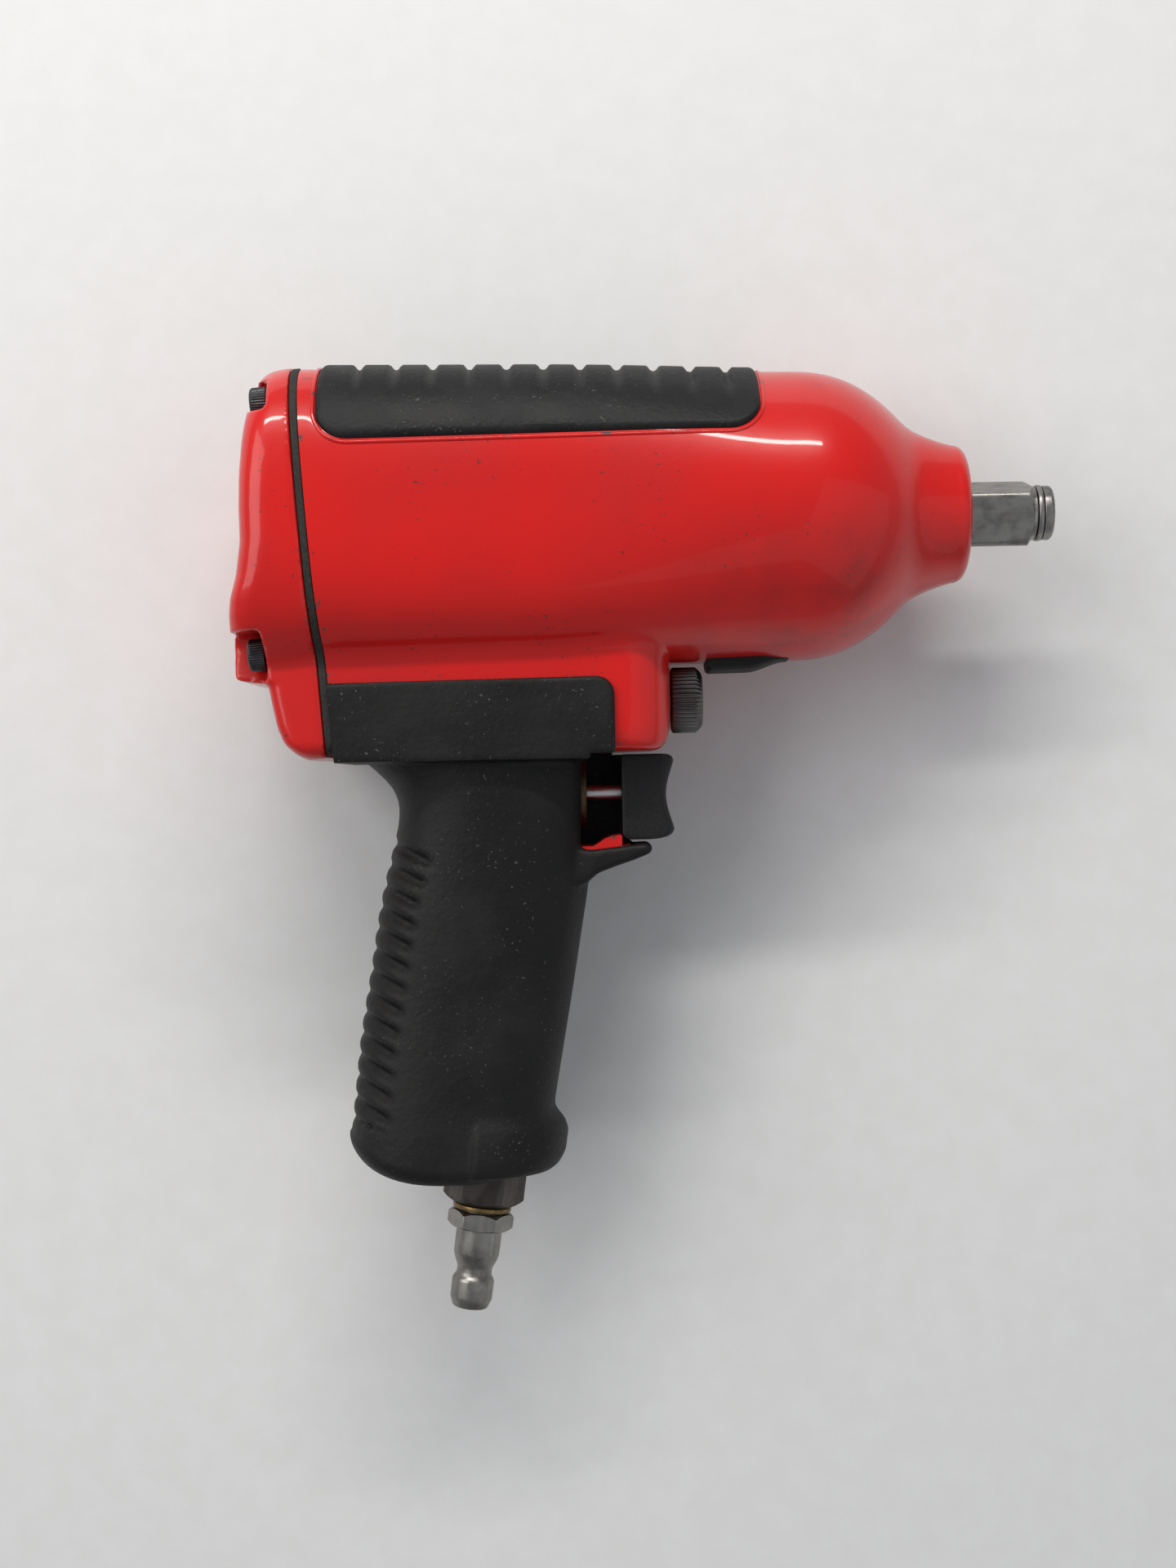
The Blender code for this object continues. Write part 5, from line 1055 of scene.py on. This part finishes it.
def cover_rings():
    rings = []
    levels = np.concatenate(
        [
            np.linspace(COVER_BOTTOM, -50.0, 14), np.linspace(-49.2, 32.0, 110),
            np.linspace(32.4, COVER_TOP, 16),
        ]
    )
    for y in levels:
        depth, half = cover_depth(y), cover_half(y)
        edge = 3.0 + 3.2 * float(ease(y, -38.0, -26.0))
        edge = max(min(edge, depth - 2.9, half - 0.5), 0.3)
        turns_in = np.linspace(0.0, math.pi / 2, 12)
        corner = [(half - edge + edge * math.cos(t), depth - edge + edge * math.sin(t)) for t in turns_in]
        right = [(half, COVER_FACE)] + corner
        rings.append([(-d, y, z) for z, d in right + [(-z, d) for z, d in reversed(right)]])
    return rings


def pocket(name, back, y_low, y_high, z_inner, side):
    """A screw's pocket, open to the side and behind, with rounded inner corners."""
    corner = 3.0
    inner = []
    for t in np.linspace(0.0, math.pi / 2, 9):
        inner.append((y_high - corner * (1 - math.sin(t)), z_inner + corner * (1 - math.cos(t))))
    inner = inner[::-1]
    for t in np.linspace(0.0, math.pi / 2, 9):
        inner.append((y_low + corner * (1 - math.cos(t)), z_inner + corner * (1 - math.sin(t))))
    outline = inner + [(y_low, 50.0), (y_high, 50.0)]
    rings = [[(x, y, side * z) for y, z in outline] for x in (back, -40.0)]
    return skin_over(name, rings, None)


def joint_place():
    return Matrix.Translation((JOINT_X, 0.0, 0.0)) @ Matrix.Rotation(math.radians(JOINT_LEAN), 4, "Z")


# %% Rear cover
cover = skin_over("cover", cover_rings(), "red_paint")
pockets = []
for side in (1, -1):
    pockets.append(pocket("upper_pocket", UPPER_SEAT, 20.9, 30.0, 15.0, side))
    pockets.append(pocket("lower_pocket", SLAB_BACK, -38.0, -24.6, 12.8, side))
combine(cover, pockets)
melt(cover, 0.55, 5)
REAR_PLATE_BACK = -153.8
spigot = turned_piece("spigot", [(REAR_PLATE_BACK - 0.3, 27.6), (JOINT_X - 8.0, 27.6)], None, 96)
hollow = turned_piece("hollow", [(REAR_PLATE_BACK + 5.0, 17.0), (JOINT_X - 5.0, 17.0)], None, 96)
into_joint = joint_place().inverted()
combine(cover, [placed(spigot, into_joint)], "UNION")
screw_holes = [turned_piece("screw_hole", [(10.5, 2.3), (-30.0, 2.3)], None, 24, place) for place in SCREWS]
combine(cover, [placed(hollow, into_joint)] + screw_holes)
placed(cover, joint_place())
fit(cover, "housing", "red_paint", "rear_cover")

# %% [markdown]
# ## The gasket's edge
# Only the gasket's rim shows, as a dark line a little below the paint on both sides. A sheet with the
# cover's outline and a round hole for the motor fills the joint.


# %% Gasket
def gasket_ring(depth, inset):
    levels = np.linspace(COVER_BOTTOM + 0.9, COVER_TOP - 1.5, 90)
    right = [(y, max(cover_half(y) - inset, 0.4)) for y in levels]
    return [(-depth, y, z) for y, z in right + [(y, -z) for y, z in reversed(right)]]


gasket = skin_over(
    "gasket", [gasket_ring(d, i) for d, i in ((0.1, 0.6), (0.3, 0.35), (1.6, 0.35), (1.8, 0.6))],
    "gasket_sheet",
)
gasket_holes = [turned_piece("gasket_hole", [(5.0, 2.3), (-5.0, 2.3)], None, 24, place) for place in SCREWS]
gasket_holes.append(turned_piece("motor_hole", [(8.0, 28.6), (-8.0, 28.6)], None, 96))
combine(gasket, gasket_holes)
placed(gasket, joint_place())
fit(gasket, "housing", "black_rubber", "rear_gasket")

# %% [markdown]
# ## Cap screws
# The screws are turned once and copied in shape. The head has the fine straight knurl of a cap screw,
# made by letting its radius ripple, a bevelled top and a real hexagon socket cut into it.

# %% Cap screws
SCREW_R, HEAD_R, HEAD_HIGH, SCREW_END = 2.0, 3.6, 3.8, 8.5


def ridged_ring(x, radius, ridge, count, centre, per=4):
    """A circle whose radius ripples, for a straight knurl."""
    ring = []
    for k in range(count * per):
        angle = math.tau * k / (count * per)
        r = radius - ridge * (0.5 - 0.5 * math.cos(count * angle)) ** 0.7
        ring.append((x, centre[0] + r * math.cos(angle), centre[1] + r * math.sin(angle)))
    return ring


def hexagon_bar(name, near, far, across, centre=(0.0, 0.0)):
    corner = across / math.sqrt(3.0)
    ring = [
        (centre[0] + corner * math.cos(math.tau * k / 6), centre[1] + corner * math.sin(math.tau * k / 6))
        for k in range(6)
    ]
    return skin_over(name, [[(x, y, z) for y, z in ring] for x in (near, far)], None)


def cap_screw(number, seat, centre):
    rings = [
        ridged_ring(x, r, 0.0, 40, centre)
        for x, r in (
            (SCREW_END, 1.4), (SCREW_END - 0.6, SCREW_R), (seat + 0.1, SCREW_R), (seat, SCREW_R + 0.2),
        )
    ]
    top = seat - HEAD_HIGH
    rings += [
        ridged_ring(x, r, ridge, 40, centre)
        for x, r, ridge in (
            (seat, 3.35, 0.0), (seat - 0.2, HEAD_R, 0.14), (top + 0.75, HEAD_R, 0.14),
            (top + 0.45, HEAD_R - 0.1, 0.02), (top + 0.15, HEAD_R - 0.35, 0.0),
            (top, HEAD_R - 0.75, 0.0),
        )
    ]
    screw = skin_over(f"cap_screw_{number}", rings, "black_steel")
    key = 1.9 * math.sqrt(3.0)
    combine(
        screw,
        [
            hexagon_bar("key", top - 1.0, top + 2.2, key, centre),
            turned_piece("lead", [(top - 0.5, 2.6), (top + 0.4, 1.75)], None, 48, centre),
        ],
    )
    placed(screw, joint_place())
    return fit(screw, "housing", "black_steel", f"cover_screw_{number}")


for number, (y, z) in enumerate(SCREWS, 1):
    cap_screw(number, (UPPER_SEAT if y > 0 else SLAB_BACK) - 0.3, (y, z))

# %% [markdown]
# ## The anvil and its ring
# The square end is milled on a round bar, so a cone bevels its corners at the front and the round shaft
# shows behind. A square prism kept only where it lies inside a turned blank does both. Behind it go the
# shaft, the collar and the two jaws inside the hammers, with the same sizes as the solid's.

# %% Anvil
SQUARE, SQUARE_CORNER, SQUARE_TURN = 12.7, 1.6, math.radians(20.0)


def square_ring(x, shrink=0.0):
    half = SQUARE / 2 - shrink
    points = []
    for quarter in range(4):
        for t in np.linspace(0.0, math.pi / 2, 10):
            y = half - SQUARE_CORNER + SQUARE_CORNER * math.cos(t)
            z = half - SQUARE_CORNER + SQUARE_CORNER * math.sin(t)
            turn = quarter * math.pi / 2 + SQUARE_TURN
            points.append(
                (x, y * math.cos(turn) - z * math.sin(turn), y * math.sin(turn) + z * math.cos(turn))
            )
    return points


def softened(profile, radius=0.25, steps=4):
    """Rounds the inner corners of a lathe profile by a small curve at each."""
    profile = [np.array(p, float) for p in profile]
    result = [tuple(profile[0])]
    for before, corner, after in zip(profile, profile[1:], profile[2:]):
        reach_in, reach_out = corner - before, after - corner
        first, last = np.linalg.norm(reach_in), np.linalg.norm(reach_out)
        start = corner - reach_in * min(radius / max(first, 1e-6), 0.45)
        end = corner + reach_out * min(radius / max(last, 1e-6), 0.45)
        for t in np.linspace(0.0, 1.0, steps):
            result.append(tuple((1 - t) ** 2 * start + 2 * t * (1 - t) * corner + t * t * end))
    return result + [tuple(profile[-1])]


def jaw(name, near, far, start, end):
    turns_of_jaw = np.radians(np.linspace(start, end, 20))
    outline = [(13.0 * math.cos(t), 13.0 * math.sin(t)) for t in turns_of_jaw]
    outline += [(7.3 * math.cos(t), 7.3 * math.sin(t)) for t in turns_of_jaw[::-1]]
    return skin_over(name, [[(x, y, z) for y, z in outline] for x in (near, far)], None)


square = skin_over("anvil_front", [square_ring(x) for x in (-4.2, -21.2)], "steel")
blank = turned_piece("blank", [(-4.0, 5.9), (-4.75, 6.25), (-6.3, 8.6), (-21.5, 8.6)], None, 96)
combine(square, [blank], "INTERSECT")
land = [
    (0.0, 0.01), (0.0, 5.55), (-0.25, 5.95), (-0.7, 6.2), (-2.15, 6.2), (-2.3, 6.05), (-2.3, 4.7),
    (-3.9, 4.7), (-3.9, 6.05), (-4.05, 6.2), (-7.8, 6.2), (-7.8, 0.01),
]
shaft = [
    (-20.2, 0.01), (-20.2, 8.6), (-21.0, 9.5), (-48.0, 9.5), (-48.0, 11.5), (-50.5, 11.5), (-50.5, 9.8),
    (-83.4, 9.8), (-83.4, 5.5), (-87.9, 5.5), (-87.9, 0.01),
]
jaws = [jaw("jaw", -55.6, -68.6, -70.0, -10.0), jaw("jaw", -69.9, -82.9, 110.0, 170.0)]
combine(
    square,
    [
        turned_piece("land", softened(land, 0.12), None, 96),
        turned_piece("shaft", softened(shaft, 0.3), None, 96),
    ] + jaws,
    "UNION",
)
fit(square, "anvil", "steel", "anvil")

ring_rings = []
for turn in np.linspace(math.radians(6.5), math.tau - math.radians(6.5), 90):
    section = []
    for t in np.linspace(0.0, math.tau, 14, endpoint=False):
        r = 5.98 + 0.42 * math.copysign(abs(math.cos(t)) ** 0.6, math.cos(t))
        x = -3.1 + 0.62 * math.copysign(abs(math.sin(t)) ** 0.6, math.sin(t))
        section.append((x, r * math.cos(turn), r * math.sin(turn)))
    ring_rings.append(section)
drive_ring = skin_over("drive_ring", ring_rings, "steel")
fit(drive_ring, "anvil", "steel", "socket_ring")

# %% [markdown]
# ## Trigger
# The trigger is a nylon moulding: its side view is pulled through the width, with the front edge rolled
# in at both sides, then fused finely so every edge gets a small radius. It moves, so it rides on its own
# body, and its polished stem rides with it.

# %% Trigger
TRIGGER_BACK, TRIGGER_FRONT, TRIGGER_TOP, TRIGGER_BOTTOM, TRIGGER_HALF = -99.3, -87.4, -53.6, -72.9, 7.4
STEM_Y = -62.2


def trigger_view():
    """Side view: a hollow front between two round lips."""
    high, low, face = TRIGGER_TOP, TRIGGER_BOTTOM, TRIGGER_FRONT
    view = [(TRIGGER_BACK, high), (TRIGGER_BACK, low + 0.9), (TRIGGER_BACK + 1.0, low), (face - 5.0, low)]
    view += [(face - 3.0, low + 0.15), (face - 1.5, low + 0.55), (face - 0.5, low + 1.2)]
    for share in np.linspace(0.0, 1.0, 24):
        view.append((face - 1.8 * math.sin(math.pi * share) ** 1.2, low + 2.2 + (high - low - 3.6) * share))
    return view + [(face - 0.35, high - 0.6), (face - 1.2, high - 0.12), (face - 2.4, high)]


trigger_rings = []
for z in np.concatenate(
    [
        -TRIGGER_HALF + 2.4 * (1 - np.cos(np.linspace(0.0, math.pi / 2, 10))),
        TRIGGER_HALF - 2.4 * (1 - np.sin(np.linspace(0.0, math.pi / 2, 10))),
    ]
):
    share = min(max((abs(z) - TRIGGER_HALF + 2.4) / 2.4, 0.0), 1.0)
    inset = 2.0 * (1.0 - math.sqrt(max(1.0 - share**2, 0.0)))
    trigger_rings.append(
        [
            (x - inset * float(ease(x, TRIGGER_BACK + 2.0, TRIGGER_FRONT - 1.0)), y, z)
            for x, y in trigger_view()
        ]
    )
trigger = skin_over("trigger_piece", trigger_rings, "black_plastic")
melt(trigger, 0.33, 3)
combine(
    trigger,
    [
        turned_piece(
            "stem_room", [(TRIGGER_BACK + 6.0, 1.95), (TRIGGER_BACK - 2.0, 1.95)], None, 40,
            (STEM_Y, 0.0),
        )
    ],
)
fit(trigger, "trigger", "black_plastic", "trigger")

stem = [(-93.8, 0.01), (-93.8, 1.35), (-94.1, 1.65), (-113.2, 1.65), (-113.6, 1.25), (-113.6, 0.01)]
stem_piece = turned_piece("stem_piece", softened(stem, 0.15), "bright_steel", 48, (STEM_Y, 0.0))
fit(stem_piece, "trigger", "bright_steel", "trigger_stem")
bush = [
    (-107.2, 2.1), (-107.2, 7.4), (-107.6, 7.8), (-113.1, 7.8), (-113.4, 7.5), (-113.4, 1.9),
    (-107.4, 1.9),
]
# The bush takes the darkened bronze, as painted shade for the shadow in the trigger well.
bush_piece = turned_piece("bush_piece", softened(bush, 0.1), "shaded_bronze", 64, (STEM_Y, 0.0), bore=True)
fit(bush_piece, "housing", "bronze", "throttle_bush")

# %% [markdown]
# ## Regulator knob
# The knob's straight knurl has 44 ridges with round tops. The rings on its outside ripple while those of
# its bore are plain circles with as many points, so the whole knob is still one simple skin.

# %% Regulator knob
KNOB_BACK, KNOB_FRONT, KNOB_R, KNOB_Y, RIDGES = -87.7, -80.5, 7.5, -41.4, 44
knob_profile = [
    (KNOB_BACK, 2.6, 0.0), (KNOB_BACK, 6.7, 0.0), (KNOB_BACK + 0.15, 7.1, 0.1),
    (KNOB_BACK + 0.5, KNOB_R, 0.42), (KNOB_FRONT - 1.6, KNOB_R, 0.42),
]
knob_profile += [
    (KNOB_FRONT - 1.2, KNOB_R - 0.25, 0.36), (KNOB_FRONT - 0.6, KNOB_R - 0.85, 0.12),
    (KNOB_FRONT - 0.2, KNOB_R - 1.35, 0.0), (KNOB_FRONT, KNOB_R - 1.8, 0.0),
]
knob_profile += [
    (KNOB_FRONT, 3.4, 0.0), (KNOB_FRONT - 0.3, 3.05, 0.0), (KNOB_FRONT - 2.0, 3.0, 0.0),
    (KNOB_FRONT - 2.0, 2.6, 0.0),
]
knob = skin_over(
    "knob", [ridged_ring(x, r, ridge, RIDGES, (KNOB_Y, 0.0), 8) for x, r, ridge in knob_profile],
    "knob_steel", "joined", 50.0,
)
fit(knob, "regulator", "dark_steel", "regulator_knob")

# %% [markdown]
# ## Air inlet
# The bushing, its seal and the plug all come off the lathe, and two of them have a hexagon milled on
# them. A hexagon bar kept inside a turned blank gets the curved bevels that a real nut has. All are built
# about the drive axis and then stood along the inlet.

# %% Air inlet
SEAT, HEX_END = -4.35, 5.85
thread = [(SEAT - 12.0, 5.6), (SEAT - 12.0, 7.4)]
for i in range(9):
    thread += [(SEAT - 11.4 + 1.25 * i, 7.35), (SEAT - 10.78 + 1.25 * i, 8.2)]
thread += [(SEAT + 1.0, 7.4), (SEAT + 1.0, 5.6)]
bushing = turned_piece("bushing", thread, "brown_steel", 72, bore=True, smooth_angle=50.0)
bushing_hex = hexagon_bar("bushing_hex", SEAT, HEX_END, 16.0)
bushing_blank = turned_piece(
    "bushing_blank",
    softened(
        [(SEAT, 8.5), (SEAT + 0.6, 9.3), (HEX_END - 1.3, 9.3), (HEX_END - 0.2, 7.6), (HEX_END, 7.3)],
        0.3,
    ),
    None, 96,
)
combine(bushing_hex, [bushing_blank], "INTERSECT")
combine(bushing, [bushing_hex], "UNION")
bushing_bore = turned_piece(
    "bushing_bore", [(SEAT - 13.0, 5.6), (HEX_END - 0.6, 5.6), (HEX_END + 0.4, 6.6)], None, 64,
)
combine(bushing, [bushing_bore])
placed(bushing, inlet_place())
fit(bushing, "housing", "brown_steel", "inlet_bushing")

seal = turned_piece(
    "seal",
    softened(
        [(6.15, 5.6), (6.15, 6.4), (6.4, 6.65), (7.2, 6.65), (7.45, 6.4), (7.45, 5.55), (6.3, 5.55)],
        0.15,
    ),
    "brass", 64, bore=True,
)
placed(seal, inlet_place())
fit(seal, "housing", "brass", "inlet_seal")

HEX_NEAR, HEX_FAR, TIP = 7.75, 11.75, 30.05
plug_line = [
    (SEAT - 1.0, 2.6), (SEAT - 1.0, 4.85), (SEAT - 0.5, 5.35), (HEX_NEAR + 1.0, 5.35),
    (HEX_NEAR + 1.0, 5.2), (TIP - 12.4, 5.2), (TIP - 10.9, 4.7), (TIP - 9.4, 4.0),
]
plug_line += [
    (TIP - 7.8, 4.0), (TIP - 6.6, 4.8), (TIP - 2.2, 4.8), (TIP - 1.2, 4.35), (TIP - 0.4, 4.1),
    (TIP, 3.6), (TIP, 3.0), (TIP - 0.4, 2.6),
]
plug = turned_piece("plug", softened(plug_line, 0.5, 5), "worn_steel", 96, bore=True)
plug_hex = hexagon_bar("plug_hex", HEX_NEAR, HEX_FAR, 13.0)
plug_blank = turned_piece(
    "plug_blank",
    softened([(HEX_NEAR, 6.3), (HEX_NEAR + 0.8, 7.5), (HEX_FAR - 0.8, 7.5), (HEX_FAR, 6.3)], 0.2), None,
    96,
)
combine(plug_hex, [plug_blank], "INTERSECT")
combine(plug_hex, [turned_piece("plug_room", [(HEX_NEAR - 1.0, 4.6), (HEX_FAR + 1.0, 4.6)], None, 64)])
combine(plug, [plug_hex], "UNION")
placed(plug, inlet_place())
fit(plug, "housing", "worn_steel", "air_plug")

# %% [markdown]
# ## Exhaust plug
# The air leaves through a perforated bronze plug beside the inlet, at the foot of the handle. Its mouth
# points down, where only a view from below shows it.

# %% Exhaust plug
exhaust_way = (EXHAUST_TO - EXHAUST_FROM).normalized()
mouth = EXHAUST_FROM + exhaust_way * ((EXHAUST_FROM.y + 146.3) / -exhaust_way.y - 0.8)
top_of_plug = mouth - exhaust_way * 9.0
across_plug = exhaust_way.cross(Vector((0.0, 0.0, 1.0)))
muffler = bar_between("exhaust_plug", top_of_plug, mouth, 4.8, 64)
muffler.data.materials.clear()
muffler.data.materials.append(FINISHES["bronze"])
air_holes = []
for i in range(5):
    turn = math.tau * i / 5
    shift = (Vector((0.0, 0.0, 1.0)) * math.cos(turn) + across_plug * math.sin(turn)) * 2.8
    air_holes.append(
        bar_between("air_hole", top_of_plug - exhaust_way + shift, mouth + exhaust_way + shift, 0.9, 24)
    )
combine(muffler, air_holes)
fit(muffler, "housing", "bronze", "exhaust_muffler")

# %% [markdown]
# ## Finishes for the solids that stay
# The pieces inside keep their solids. Each takes the finish of its slot in the record.

# %% Finishes on the solids
for entry in frame["record"]["subparts"]:
    node = frame["nodes"][entry["node"]]
    node.data.materials.clear()
    node.data.materials.append(FINISHES[entry["material_slot"]])
print("solids with a finish:", len(frame["nodes"]))
